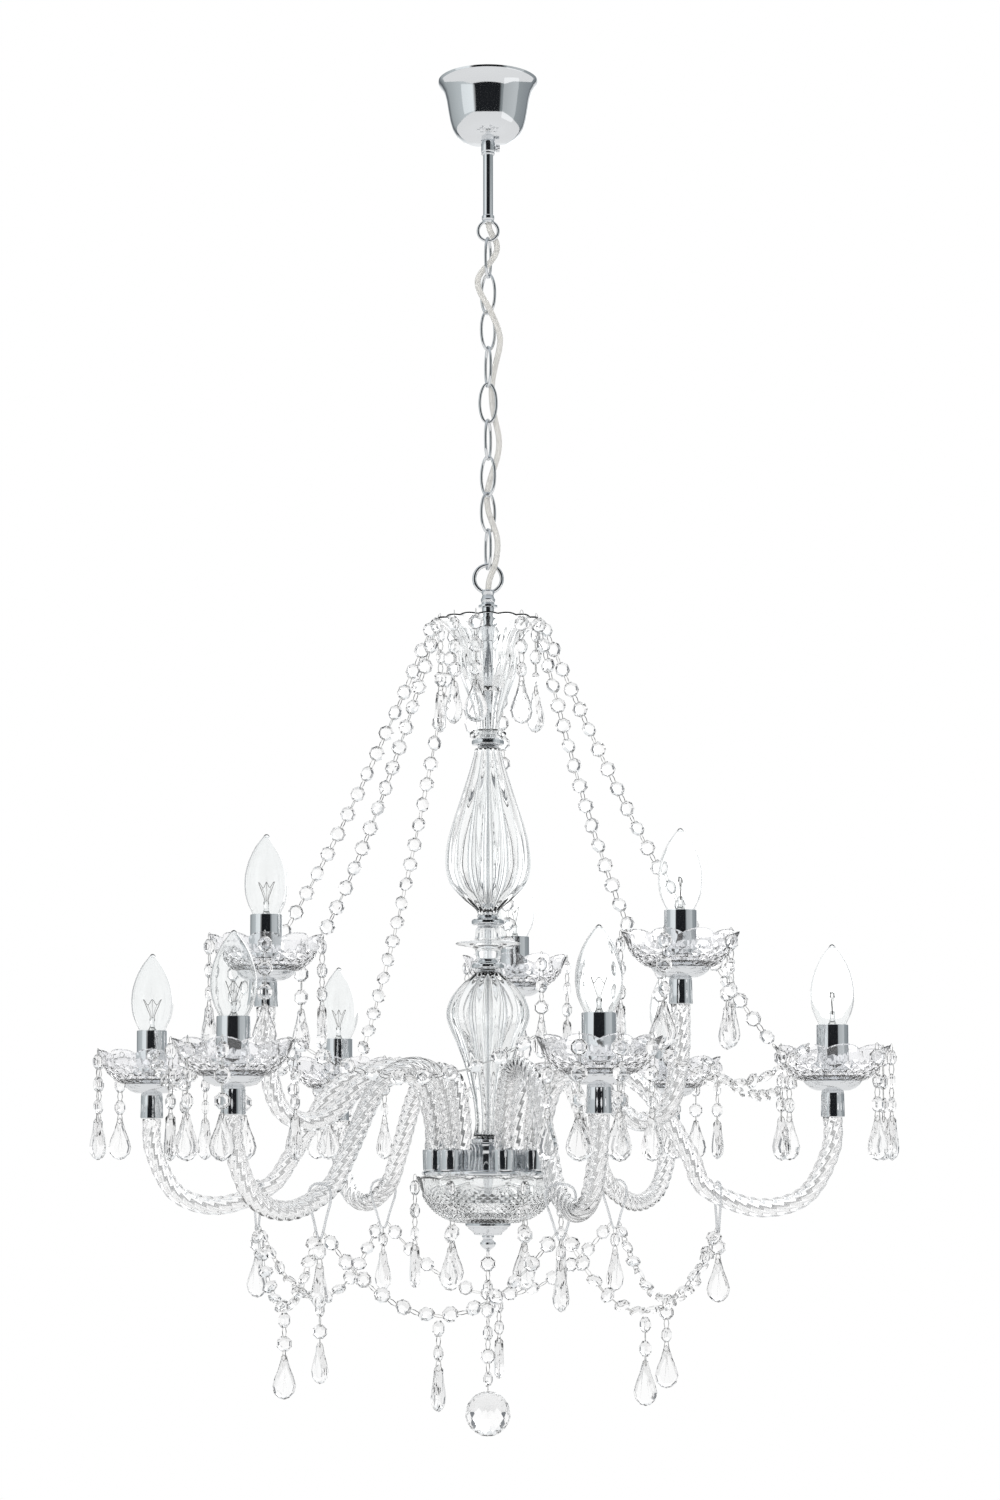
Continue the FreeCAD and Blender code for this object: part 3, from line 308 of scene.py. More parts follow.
def turn(outline, steps=48, closed=False):
    """A turning about Z from (radius, height) pairs. Its vertices know their row in the outline."""
    bm = bmesh.new()
    row = bm.verts.layers.int.new("row")
    corners = [bm.verts.new((radius, 0, height)) for radius, height in outline]
    for number, corner in enumerate(corners):
        corner[row] = number
    pairs = list(zip(corners, corners[1:])) + ([(corners[-1], corners[0])] if closed else [])
    edges = [bm.edges.new(pair) for pair in pairs]
    bmesh.ops.spin(
        bm,
        geom=corners + edges,
        cent=(0, 0, 0),
        axis=(0, 0, 1),
        angle=math.tau,
        steps=steps,
        use_merge=True,
    )
    bmesh.ops.remove_doubles(bm, verts=bm.verts, dist=SEAM)
    bmesh.ops.recalc_face_normals(bm, faces=bm.faces)
    return bm


def eased(outline, steps=6):
    """A smooth line through the outline's points, for glass that was soft when it took its shape."""
    points = [Vector(p) for p in outline]
    line = []
    for i in range(len(points) - 1):
        before = points[max(i - 1, 0)]
        here, ahead = points[i], points[i + 1]
        after = points[min(i + 2, len(points) - 1)]
        for k in range(steps):
            t = k / steps
            pull = (ahead - before) * t + (2 * before - 5 * here + 4 * ahead - after) * t**2
            pull += (3 * here - before - 3 * ahead + after) * t**3
            line.append(here + pull / 2)
    return line + [points[-1]]


def sweep(path, ring, twist=0.0, side=(0, 1, 0), closed=False):
    """A grid rolled into a tube along a path. ring holds (across, side) pairs, turned by twist a step."""
    stations = []
    side = Vector(side)
    for i, point in enumerate(path):
        following = path[(i + 1) % len(path)] if closed or i < len(path) - 1 else point
        previous = path[i - 1] if closed or i > 0 else point
        ahead = (following - previous).normalized()
        side = (side - ahead * side.dot(ahead)).normalized()
        turned = Matrix.Rotation(twist * i, 3, ahead)
        stations.append((point, turned @ side.cross(ahead), turned @ side))
    rows = len(path) if closed else len(path) - 1
    bm = bmesh.new()
    bmesh.ops.create_grid(bm, x_segments=len(ring), y_segments=rows, size=0.5)
    for vertex in bm.verts:
        k = round((vertex.co.x + 0.5) * len(ring)) % len(ring)
        i = round((vertex.co.y + 0.5) * rows) % len(path)
        point, across, along = stations[i]
        vertex.co = point + across * ring[k][0] + along * ring[k][1]
    bmesh.ops.remove_doubles(bm, verts=bm.verts, dist=SEAM)
    bmesh.ops.holes_fill(bm, edges=[e for e in bm.edges if e.is_boundary], sides=0)
    bmesh.ops.recalc_face_normals(bm, faces=bm.faces)
    return bm


def round_ring(radius, sides):
    """The round section of a wire or lead."""
    angles = [math.tau * k / sides for k in range(sides)]
    return [(radius * math.cos(angle), radius * math.sin(angle)) for angle in angles]


def make(name, bm, finish, body, nodes=(), crease=35):
    """A finished object from a bmesh in millimetres. Edges sharper than crease degrees stay crisp."""
    bmesh.ops.scale(bm, vec=(MM, MM, MM), verts=bm.verts)
    for edge in bm.edges:
        edge.smooth = edge.is_manifold and edge.calc_face_angle(math.pi) < math.radians(crease)
    for face in bm.faces:
        face.smooth = crease > 0
    mesh = bpy.data.meshes.new(name)
    bm.to_mesh(mesh)
    bm.free()
    mesh.materials.append(finish)
    piece = bpy.data.objects.new(name, mesh)
    bpy.context.collection.objects.link(piece)
    if body:
        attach(piece, body)
    if nodes:
        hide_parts(*([nodes] if isinstance(nodes, str) else nodes))
    print("made", name, "with", len(mesh.polygons), "faces")
    return piece


def joined(shapes):
    """Several bmeshes as one."""
    whole = bmesh.new()
    for shape in shapes:
        loose = bpy.data.meshes.new("loose")
        shape.to_mesh(loose)
        shape.free()
        whole.from_mesh(loose)
        bpy.data.meshes.remove(loose)
    return whole


def stamp(whole, mesh, place):
    """Adds a copy of a mesh to a bmesh, moved by a 4x4 matrix."""
    before = len(whole.verts)
    whole.from_mesh(mesh)
    whole.verts.ensure_lookup_table()
    bmesh.ops.transform(whole, matrix=place, verts=whole.verts[before:])


def as_mesh(bm, name):
    """A bmesh kept as a mesh, for example to be stamped many times."""
    mesh = bpy.data.meshes.new(name)
    bm.to_mesh(mesh)
    bm.free()
    return mesh


def raised(bm, height):
    """The same bmesh, moved up."""
    bmesh.ops.translate(bm, vec=(0, 0, height), verts=bm.verts)
    return bm


def level(node, top=False):
    """The height of a node's underside or top, in millimetres."""
    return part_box(node)[1 if top else 0][2] / MM


def around(radius, azimuth, height):
    """A point at an azimuth in degrees, counted from the camera's side towards its right."""
    angle = math.radians(azimuth)
    return Vector((radius * math.sin(angle), -radius * math.cos(angle), height))


# %% [markdown]
# ## The lead
# The lamp lead leaves the stem, winds loosely down through the chain and enters the ring's neck.
# It is about 5 mm thick and fairly stiff, so it makes long easy curves. One smooth spline follows
# the route's points. The chain can swing, so the lead is cut into as many stretches as the chain
# has joints, all of one length along the line.

# %% The lead's route
LEAD_DIAMETER = 0.0048
LEAD_ROUTE = [
    (0.0, 0.0, -0.1100),
    (0.0, 0.0, -0.1205),
    (0.0032, 0.0037, -0.1270),
    (0.0072, 0.0046, -0.1328),
    (0.0076, 0.0036, -0.1403),
    (0.0027, 0.0017, -0.1495),
    (-0.0057, -0.0005, -0.1587),
    (-0.0094, -0.0036, -0.1675),
    (-0.0068, -0.0056, -0.1775),
    (-0.0003, -0.0066, -0.1884),
    (0.0057, -0.0049, -0.2004),
    (0.0101, -0.0027, -0.2122),
    (0.0096, 0.0, -0.2219),
    (0.0066, 0.0025, -0.2328),
    (0.0035, 0.0035, -0.2466),
    (0.0026, 0.0045, -0.2605),
    (0.0042, 0.0043, -0.2745),
    (0.0074, 0.0043, -0.2871),
    (0.0094, 0.0040, -0.2982),
    (0.0083, 0.0041, -0.3093),
    (0.0050, 0.0044, -0.3200),
    (0.0009, 0.0061, -0.3316),
    (-0.0014, 0.0054, -0.3452),
    (0.0002, 0.0029, -0.3574),
    (0.0039, -0.0004, -0.3676),
    (0.0078, -0.0024, -0.3795),
    (0.0078, -0.0037, -0.3920),
    (0.0053, -0.0048, -0.4041),
    (0.0010, -0.0020, -0.4135),
    (0.0, 0.0, -0.4210),
    (0.0, 0.0, -0.4280),
]

lead_curve = bpy.data.curves.new("lead_line", "CURVE")
lead_curve.dimensions = "3D"
lead_curve.resolution_u = 6
spline = lead_curve.splines.new("NURBS")
spline.points.add(len(LEAD_ROUTE) - 1)
for point, place in zip(spline.points, LEAD_ROUTE):
    point.co = (*place, 1)
spline.order_u = 3
spline.use_endpoint_u = True
lead_line = bpy.data.objects.new("lead_line", lead_curve)
bpy.context.collection.objects.link(lead_line)
line_mesh = bpy.data.meshes.new_from_object(lead_line)
lead_points = [v.co.copy() for v in line_mesh.vertices]
bpy.data.meshes.remove(line_mesh)
bpy.data.objects.remove(lead_line)
print("lead:", len(lead_points), "points on its line")

# %% The lead in stretches
chain_joints = [j for j in frame["joints"] if j["name"].startswith(("link_", "chandelier"))]
walked = [0.0]
for a, b in zip(lead_points, lead_points[1:]):
    walked.append(walked[-1] + (b - a).length)
lead_length = walked[-1]
starts = []
for number in range(len(chain_joints) + 1):
    share = lead_length * number / len(chain_joints)
    starts.append(min(range(len(walked)), key=lambda i: abs(walked[i] - share)))
for number, joint in enumerate(chain_joints, start=1):
    stretch = lead_points[starts[number - 1] : starts[number] + 1]
    tube = sweep([p / MM for p in stretch], round_ring(LEAD_DIAMETER / 2 / MM, 14))
    piece = make(f"lead_{number}", tube, clear_lead, None, "flex", 60)
    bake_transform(piece)
print("whole lead", round(lead_length, 4), "m")

# %% [markdown]
# ## Ceiling cup and collar
# The cup is a spun bell: it starts flat round the stem, swells over a shoulder and flares into a
# lip that meets the ceiling. Spinning an outline is exactly how the metal one was formed, over a
# turning wooden former. The collar under it holds the cup on the stem, so that it can slide down
# while the wires are joined.

# %% Ceiling cup and collar
CUP_HEIGHT = 50
CUP_RADIUS = 41
CUP_WALL = 1
COLLAR_HEIGHT = 11.5
STEM_HOLE = 4.25

cup_outside = [(STEM_HOLE, 0), (16.5, 0), (18.4, 0.5), (22, 2.2), (26.2, 5.6), (29, 10), (31, 16)]
cup_outside += [(32.6, 24), (34, 33), (35.6, 40), (38.2, 45), (40.4, 47.4)]
cup_lip = [(CUP_RADIUS, 48.6), (CUP_RADIUS, CUP_HEIGHT), (CUP_RADIUS - CUP_WALL, CUP_HEIGHT)]
cup_inside = [(radius - CUP_WALL, height) for radius, height in reversed(cup_outside[3:])]
cup_floor = [(17.5, 1.2), (STEM_HOLE, 1.2)]
cup = turn(cup_outside + cup_lip + cup_inside + cup_floor, 72, closed=True)
make("ceiling_bell", raised(cup, -CUP_HEIGHT), chrome, "cup", "ceiling_cup", 50)

collar_line = [(STEM_HOLE, 0), (5.0, 0), (5.5, 0.6), (5.5, 1.4), (5.0, 2), (5.8, 2.8), (5.8, 10.7)]
collar_line += [(5.0, COLLAR_HEIGHT), (STEM_HOLE, COLLAR_HEIGHT)]
collar = raised(turn(collar_line, 36, closed=True), -CUP_HEIGHT - COLLAR_HEIGHT)
make("cup_collar_turned", collar, chrome, "cup", "cup_collar", 30)

# %% [markdown]
# ## Thumb screw
# A small knurled screw in the collar bites on the stem. Its head is turned like the rest, and
# every second column of the rim is drawn in a little, which cuts the knurls that a thumb grips.

# %% Thumb screw
SCREW_LEVEL = -55.75
KNURLS = 16
KNURL_DEPTH = 0.09
HEAD_RIM = 2.9


def draw_in(vertex, share):
    """Moves a vertex towards the stem's line by a share of its distance, outwards if negative."""
    vertex.co.x *= 1 - share
    vertex.co.y *= 1 - share


screw_outline = [(0, 4.3), (1.2, 4.3), (1.4, 4.6), (1.4, 5.9), (2.6, 6.2), (3.0, 6.8), (3.0, 9.0)]
screw = turn(screw_outline + [(2.6, 9.7), (0, 9.9)], 2 * KNURLS)
for vertex in screw.verts:
    if math.hypot(vertex.co.x, vertex.co.y) > HEAD_RIM:
        column = round(math.atan2(vertex.co.y, vertex.co.x) / math.tau * 2 * KNURLS)
        draw_in(vertex, KNURL_DEPTH * (column % 2))
lying = Matrix.Rotation(math.radians(90), 3, "Y")
bmesh.ops.rotate(screw, cent=(0, 0, 0), matrix=lying, verts=screw.verts)
make("thumb_screw", raised(screw, SCREW_LEVEL), chrome, "screw", "set_screw", 25)

# %% [markdown]
# ## Strap, stem and loop
# A steel strap takes the weight at the ceiling. The stem is a thin tube that a nut holds in the
# strap, and its lower end carries a ring with a drilled boss, where the lead comes out. The strap,
# its nut and the terminal block are hidden by the cup, so their CAD solids stay and only get
# their finish. Tube and ring show, so they are turned and swept.

# %% Hidden fittings
hidden = {"ceiling_bracket": zinc_steel, "stem_nut": zinc_steel, "terminal_block": ivory_plastic}
for node, finish in hidden.items():
    materials = frame["nodes"][node].data.materials
    materials.clear()
    materials.append(finish)
    print(node, "keeps its solid, in", finish.name)

# %% Stem and loop
STEM_LENGTH = 112
LOOP_RADIUS = 8.25
LOOP_WIRE = 2.5
BOSS_HEIGHT = 6.4


def ellipse(half_width, half_height, steps, middle=0.0, across=(1, 0, 0)):
    """Points of an upright ellipse about the stem's line. across is the way that its width runs."""
    points = []
    for k in range(steps):
        angle = math.tau * k / steps
        height = middle + half_height * math.cos(angle)
        points.append(Vector(across) * (half_width * math.sin(angle)) + Vector((0, 0, height)))
    return points


tube_line = [(3.0, 0), (3.9, 0), (4.2, 0.3), (4.2, STEM_LENGTH - 0.3), (3.9, STEM_LENGTH), (3.0, STEM_LENGTH)]
tube = raised(turn(tube_line, 36, closed=True), -STEM_LENGTH)
make("stem", tube, chrome, "ceiling_mount", "stem_tube", 30)

loop_middle = level("stem_loop") + LOOP_WIRE / 2 + LOOP_RADIUS
loop_path = ellipse(LOOP_RADIUS, LOOP_RADIUS, 48, loop_middle)
loop = sweep(loop_path, round_ring(LOOP_WIRE / 2, 14), closed=True)
boss_line = [(2.7, 0), (4.0, 0), (4.7, 0.5), (5.0, 1.5), (4.6, 2.4), (5.2, 3.4), (5.2, 5.8)]
boss_line += [(4.8, BOSS_HEIGHT), (2.7, BOSS_HEIGHT)]
boss = raised(turn(boss_line, 36, closed=True), level("stem_loop", top=True) - BOSS_HEIGHT)
make("stem_ring", joined([loop, boss]), chrome, "ceiling_mount", "stem_loop", 30)

# %% [markdown]
# ## Chain
# Each link is a length of round wire bent into an oval. The chain has twisted as it hung, so each
# link is turned a little less than a quarter turn from the last. A closed ellipse, swept with a
# round section, gives the bent wire its even thickness.

# %% Chain
LINK_WIRE = 2.4
LINK_LENGTH = 35.2 - LINK_WIRE
LINK_WIDTH = 16.0 - LINK_WIRE
LINK_TWIST = 72
LINK_STEPS = 40
for number in range(1, 10):
    turned = Matrix.Rotation(math.radians(LINK_TWIST * number), 3, "Z")
    middle = level(f"chain_link_{number}", top=True) - LINK_WIRE / 2 - LINK_LENGTH / 2
    across = turned @ Vector((1, 0, 0))
    path = ellipse(LINK_WIDTH / 2, LINK_LENGTH / 2, LINK_STEPS, middle, across)
    link = sweep(path, round_ring(LINK_WIRE / 2, 12), side=turned @ Vector((0, 1, 0)), closed=True)
    make(f"chain_{number}", link, chrome, f"link_{number}", f"chain_link_{number}", 60)
print("links from", round(level("chain_link_1", top=True)), "to", round(level("chain_link_9")), "mm")

# %% [markdown]
# ## Body ring
# The ring that everything below hangs from is thicker than the links. It is brazed to a drilled
# neck with a turned collar and a flange that clamps the first glass.

# %% Body ring
RING_RADIUS = 11.3
RING_WIRE = 3.4
ring_middle = level("body_ring", top=True) - RING_WIRE / 2 - RING_RADIUS
ring_path = ellipse(RING_RADIUS, RING_RADIUS, 56, ring_middle)
ring = sweep(ring_path, round_ring(RING_WIRE / 2, 16), closed=True)
neck_line = [(2.8, 0), (7.0, 0), (7.8, 0.5), (7.8, 1.9), (7.2, 2.4), (5.6, 2.9), (5.2, 4.2), (5.8, 5.4)]
neck_line += [(6.0, 7.0), (5.2, 8.4), (4.6, 10.4), (5.4, 12.4), (5.6, 13.6), (5.0, 14.4), (2.8, 14.4)]
neck = raised(turn(neck_line, 40, closed=True), level("body_ring"))
make("hanging_ring", joined([ring, neck]), chrome, "chandelier", "body_ring", 30)

# %% [markdown]
# ## Fluted glass turnings
# The stem is dressed with pressed glass: a flared dish on a slim foot, two balusters and a lens.
# They are shaped like turned wood, with long rounded flutes that run from end to end, and they are
# hollow. A spun outline has the right profile, and drawing every vertex between two ribs a little
# towards the middle presses the flutes in, deepest where the glass is widest.

# %% Flutes
FLUTES = 16
STEPS_PER_FLUTE = 8
GLASS_THICKNESS = 8.0
ROD_HOLE = 3.1


def valley(angle, ridges):
    """0 on each of so many ridges round the stem, and 1 halfway between two of them."""
    return 1 - abs(math.cos(angle * ridges / 2))


def bearing_of(vertex):
    """The angle at which a vertex stands round the stem's line."""
    return math.atan2(vertex.co.y, vertex.co.x)


def fluted(outline, depth, fade):
    """A hollow turning. depth is the flutes' share of the radius, faded over rows at each end."""
    rows = len(outline)
    hollow = [(max(ROD_HOLE, radius - GLASS_THICKNESS), height) for radius, height in outline[2:-2]]
    inside = [(ROD_HOLE, outline[-1][1])] + hollow[::-1] + [(ROD_HOLE, outline[0][1])]
    bm = turn(outline + inside, FLUTES * STEPS_PER_FLUTE, closed=True)
    row = bm.verts.layers.int["row"]
    for vertex in bm.verts:
        if vertex[row] < rows:
            foot_share = (vertex[row] + 1) / (fade[0] + 1)
            top_share = (rows - vertex[row]) / (fade[1] + 1)
            ends = min(1.0, foot_share, top_share)
            draw_in(vertex, depth * ends * valley(bearing_of(vertex), FLUTES))
    return bm


# %% [markdown]
# ## Top dish
# The dish flares from a slim foot to a thin lip, and is hollow like a funnel. Its flutes run on
# into the lip, where they are shallower and also dip a little, so that the edge looks petalled.

# %% Top dish
DISH_FLUTE = 0.10
LIP_FLUTE = 0.05
LIP_START = 86
LIP_EDGE = 40
LIP_DIP = 0.8

dish_outside = [(8.6, 0), (9.2, 6), (11.5, 18), (16.5, 33), (22, 48), (24.6, 60), (24.8, 68)]
dish_outside += [(26, 75), (29, 81), (33.4, 86.2), (38.4, 90.4), (43.2, 93.9)]
dish_inside = [(43.4, 94.5), (43.0, 95.0), (38, 92.0), (33, 88.6), (28.5, 84.4), (24.4, 78.6), (22, 71)]
dish_inside += [(20.8, 61), (17.6, 50), (12, 42), (6, 38), (ROD_HOLE, 37), (ROD_HOLE, 0)]
top_dish = turn(eased(dish_outside) + dish_inside, FLUTES * STEPS_PER_FLUTE, closed=True)
for vertex in top_dish.verts:
    reach = math.hypot(vertex.co.x, vertex.co.y)
    dip = valley(bearing_of(vertex), FLUTES)
    if reach > ROD_HOLE + 0.4:
        draw_in(vertex, (DISH_FLUTE if vertex.co.z < LIP_START else LIP_FLUTE) * dip)
    if reach > LIP_EDGE:
        vertex.co.z -= LIP_DIP * dip
top_dish = raised(top_dish, level("top_dish"))
make("fluted_dish", top_dish, cast_glass, "chandelier", "top_dish", 60)

# %% [markdown]
# ## Balusters
# The upper baluster is a long drop with its belly low down, the lower one a vase with its belly
# high up. Both are eased through a few points, as soft glass has no corners, and their flutes fade
# out before the ends, where the spacers clamp them.

# %% Balusters
upper = [(8, 0), (10.4, 5), (20, 13), (30, 24), (34.6, 36), (34.8, 47), (33.2, 60), (29.2, 75), (24, 91)]
upper += [(18.8, 107), (14.4, 121), (11.8, 131), (10.8, 136)]
lower = [(12.8, 0), (11, 5), (10.2, 14), (12, 30), (15.2, 44), (19.6, 60), (25.6, 76), (31.6, 90)]
lower += [(33.8, 98), (33.2, 106), (28.6, 116), (20.8, 125), (13.4, 131), (10.2, 134)]
for word, outline, depth, fade in (("upper", upper, 0.13, (4, 4)), ("lower", lower, 0.15, (5, 4))):
    node = word + "_baluster"
    glass = raised(fluted(eased(outline), depth, fade), level(node))
    make(f"{word}_fluted_baluster", glass, cast_glass, "chandelier", node, 60)

# %% [markdown]
# ## Lens and glass collar
# Between the two balusters a short glass spool carries a thin lens, with a rim as fine as a
# saucer's. A small glass collar closes the gap under the top dish. Both are plain turnings.

# %% Lens and glass collar
COLLAR_BELOW_DISH = 3


def turned_piece(name, node, outline, steps, finish, foot=None, crease=30, closed=True):
    """A plain turning of the body, at its node's foot or at a height of its own."""
    bm = turn(outline, steps, closed=closed)
    height = level(node) if foot is None else foot
    return make(name, raised(bm, height), finish, "chandelier", node or (), crease)


lens = [(9.6, 0), (10.2, 0.8), (10.4, 6), (10.9, 8.4), (14, 9.6), (20, 10.6), (25.2, 11.6)]
lens += [(26.4, 12.4), (26.4, 12.9), (25.2, 13.6), (20, 14.5), (14, 15.5), (10.9, 16.7), (10.4, 19)]
lens += [(10.2, 24.2), (9.6, 25), (ROD_HOLE, 25), (ROD_HOLE, 0)]
turned_piece("lens_on_spool", "lens_disc", lens, 72, cast_glass, crease=40)

glass_collar = [(9.3, 0), (12.6, 0), (15, 1.8), (15, 5.2), (13.2, 7), (9.3, 7)]
collar_foot = level("top_dish") - COLLAR_BELOW_DISH
turned_piece("glass_collar", None, glass_collar, 24, cast_glass, collar_foot, 20)

# %% [markdown]
# ## Spacers
# Chrome discs with rolled edges separate the pieces of glass, each between two short necks that
# keep the glass from touching metal all over. The last disc lies flat on the hub's boss.

# %% Spacers
SPACER_HOLE = 3.4
SPACER_HEIGHT = 11
LAST_DISC_HEIGHT = 5
spacer = [(SPACER_HOLE, 0), (8.6, 0), (9, 0.5), (8.2, 1.6), (8.8, 2.6)]
spacer += [(12.4, 3), (13.2, 3.6), (13.5, 5.0), (13.4, 6.4), (12.6, 7.4), (9.4, 8)]
spacer += [(8.4, 9), (9, 10.4), (8.6, SPACER_HEIGHT), (SPACER_HOLE, SPACER_HEIGHT)]
last_disc = [(SPACER_HOLE, 0), (12.4, 0), (13.3, 0.6), (13.5, 1.8), (13.2, 3.2), (12.2, 4.2)]
last_disc += [(9.6, LAST_DISC_HEIGHT), (SPACER_HOLE, LAST_DISC_HEIGHT)]
carried_by = ("upper_baluster", "lens_disc", "lower_baluster")
discs = [raised(turn(spacer, 48, closed=True), level(node, top=True)) for node in carried_by]
last_foot = level("lower_baluster") - LAST_DISC_HEIGHT
discs.append(raised(turn(last_disc, 48, closed=True), last_foot))
make("chrome_spacers", joined(discs), chrome, "chandelier", "column_discs", 30)

# %% [markdown]
# ## Rod and hub
# A plated rod runs down through all the glass, and shows through it as a dark line. Its upper end
# widens where the dish hangs on it. The hub is a flat pressed plate, with a boss up to the last
# disc: nine cups stand on it in a ring.

# %% Rod and hub
rod_length = level("centre_rod", top=True) - level("centre_rod")
rod = [(0, 0), (2.6, 0), (3, 0.4), (3, rod_length - 28.4), (3.6, rod_length - 28)]
rod += [(5, rod_length - 27.6), (5, rod_length - 0.2), (4.8, rod_length), (0, rod_length)]
turned_piece("threaded_rod", "centre_rod", rod, 28, chrome, closed=False)
plate = [(ROD_HOLE, 0), (52, 0), (53.4, 0.6), (54, 2), (53.4, 3.4), (52, 4), (16, 4), (15, 4.6)]
plate += [(14.4, 8), (13.2, 14), (13.6, 22), (15, 24.6), (15, 26), (ROD_HOLE, 26)]
turned_piece("hub_plate", "hub", plate, 72, chrome)

# %% [markdown]
# ## Diamond-cut glass
# The bowl and the drip dishes are cut all over with crossing grooves, which leave rows of small
# four-sided pyramids. A turning whose corners alternate in and out, with each slanting quad split
# along its two low corners, has exactly those pyramids, as flat faces that catch light one by one.

# %% Diamond cut
POINT_DROP = 0.5


def diamond_cut(bm, rows, columns, depth, half=1):
    """Pyramids on the turned rows given, half a width and half a height of so many steps each."""
    row = bm.verts.layers.int["row"]
    first, last = rows
    low = set()
    for vertex in bm.verts:
        if not first <= vertex[row] <= last:
            continue
        column = round(bearing_of(vertex) / math.tau * columns)
        steps = []
        for shift in (0, half):
            across = (column + shift) % (2 * half)
            along = (vertex[row] - first + shift) % (2 * half)
            steps.append(min(across, 2 * half - across) + min(along, 2 * half - along))
        share = 1 - min(steps) / half
        if share > 0 and first < vertex[row] < last:
            draw_in(vertex, -depth * share / math.hypot(vertex.co.x, vertex.co.y))
            vertex.co.z -= depth * share * POINT_DROP
        else:
            low.add(vertex)
    for face in list(bm.faces):
        corners = face.verts[:]
        if len(corners) != 4 or not all(first <= v[row] <= last for v in corners):
            continue
        for a, b in ((corners[0], corners[2]), (corners[1], corners[3])):
            if a in low and b in low:
                bmesh.utils.face_split(face, a, b)
                break
    return bm


# %% [markdown]
# ## Scalloped rims
# The press also draws the rims of the bowl and the dishes into round lobes. From a radius outwards
# every vertex is drawn in and down between two lobes, more and more towards the edge.

# %% Scallops


def scallop(bm, lobes, start, rim, depth, drop):
    """Lobes on a rim. depth is a share of the radius and drop is in millimetres, both at the rim."""
    for vertex in bm.verts:
        reach = math.hypot(vertex.co.x, vertex.co.y)
        if reach > start:
            share = min(1.0, (reach - start) / (rim - start)) ** 2
            between_lobes = valley(bearing_of(vertex), lobes) ** 1.4
            draw_in(vertex, depth * share * between_lobes)
            vertex.co.z -= drop * share * between_lobes
    return bm


# %% [markdown]
# ## Bowl
# The bowl hides the wires under the hub. It is thick pressed glass, cut with diamonds from its
# foot to below the rim, which has twelve lobes.

# %% Bowl
BOWL_COLUMNS = 96
BOWL_LOBES = 12
BOWL_HOLE = 3.3
bowl_wall = [(18, 0.0), (25, 0.6), (31, 2.2), (36.4, 4.6), (41, 7.6), (45, 11.2), (48.4, 15.2)]
bowl_wall += [(51.2, 19.6), (53.4, 24.2), (55.0, 28.4), (56.4, 32.4)]
bowl_rim = [(58, 36), (58.8, 37.6), (57.6, 38), (56, 36.4)]
bowl_inside = [(53.4, 31), (50.4, 24), (46, 16.6), (38, 9.4), (27, 5), (16, 4), (BOWL_HOLE, 4)]
bowl_outline = [(BOWL_HOLE, 0)] + eased(bowl_wall, 2) + bowl_rim + bowl_inside
bowl = turn(bowl_outline, BOWL_COLUMNS, closed=True)
scallop(bowl, BOWL_LOBES, start=50, rim=58.8, depth=0.07, drop=2.6)
diamond_cut(bowl, (1, 17), BOWL_COLUMNS, 1.2)
make("cut_glass_bowl", raised(bowl, level("bowl")), bowl_glass, "chandelier", "bowl", 12)

# %% [markdown]
# ## Bowl cup and finial
# A stepped chrome cup closes the bowl from below, and a knob with a small tip screws on the rod's
# end. Both were turned on a lathe, and so are these.

# %% Bowl cup and finial
bowl_cup = [(0, 0), (10.6, 0), (11.4, 0.6), (11.6, 1.6), (13.6, 3.2), (15.8, 5.0), (16.2, 6.2)]
bowl_cup += [(17.6, 6.8), (18.5, 7.8), (18.5, 9.2), (17.8, 10), (0, 10)]
turned_piece("bowl_under_cup", "bowl_cup", bowl_cup, 56, chrome, closed=False)
knob = [(0, 0), (1.0, 0.1), (1.5, 0.8), (1.4, 1.6), (3.4, 3.0), (5.4, 4.6), (6.4, 6.4), (6.2, 8)]
knob += [(4.8, 9.6), (3.9, 10.6), (4.2, 11.4), (4.8, 12.2), (4.9, 13.4), (4.4, 14), (0, 14)]
turned_piece("finial_knob", "finial", knob, 40, chrome, closed=False)

# %% [markdown]
# ## Places of the nine lights
# Everything on a light stands in one upright stack: arm end, cup, pan, sleeve, holder and bulb.
# The bulbs' solids say where the nine stacks are, and each stack is worked out downwards from
# there: how far out it stands, at which azimuth, and how high the arm ends.

# %% Places of the lights
CAP_LENGTH = 21
CAP_PLAY = 0.2
HOLDER_HEIGHT = 49
ARM_CUP_HEIGHT = 21
PAN_THICKNESS = 1.2
SLEEVE_FOOT = ARM_CUP_HEIGHT + PAN_THICKNESS
bulbs = []
stacks = []
for number in range(1, 10):
    low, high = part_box(f"bulb_{number}")
    x, y = (low[0] + high[0]) / 2 / MM, (low[1] + high[1]) / 2 / MM
    cap_foot = low[2] / MM
    bulbs.append((x, y, cap_foot))
    end = cap_foot + CAP_LENGTH - CAP_PLAY - HOLDER_HEIGHT - SLEEVE_FOOT
    stacks.append((number, math.hypot(x, y), math.degrees(math.atan2(x, -y)), end))
for number, reach, azimuth, end in stacks:
    print("light", number, "reach", round(reach, 1), "azimuth", round(azimuth, 1), "end", round(end, 1))

# %% [markdown]
# ## Twisted arms
# Each arm is a thick-walled clear glass tube with eight ribs, bent over a mould and twisted while
# soft, so that the ribs wind round it like the strands of a rope. The wire to the lamp runs in its
# bore and shows as a pale core. The ribbed section is swept along the arm's curve and turned on at
# every step. The bore is a second sweep with its faces turned round, so that light leaves the
# glass there, and enters it again on the far side.

# %% The arm's section
ARM_RADIUS = 7.8
ARM_RIBS = 8
ARM_BORE = 4.2
RIB_POINTS = 4
RIB_DEPTH = 0.13
TURN_LENGTH = 80.0
STATION = 1.5
LEAD_RADIUS = 1.2

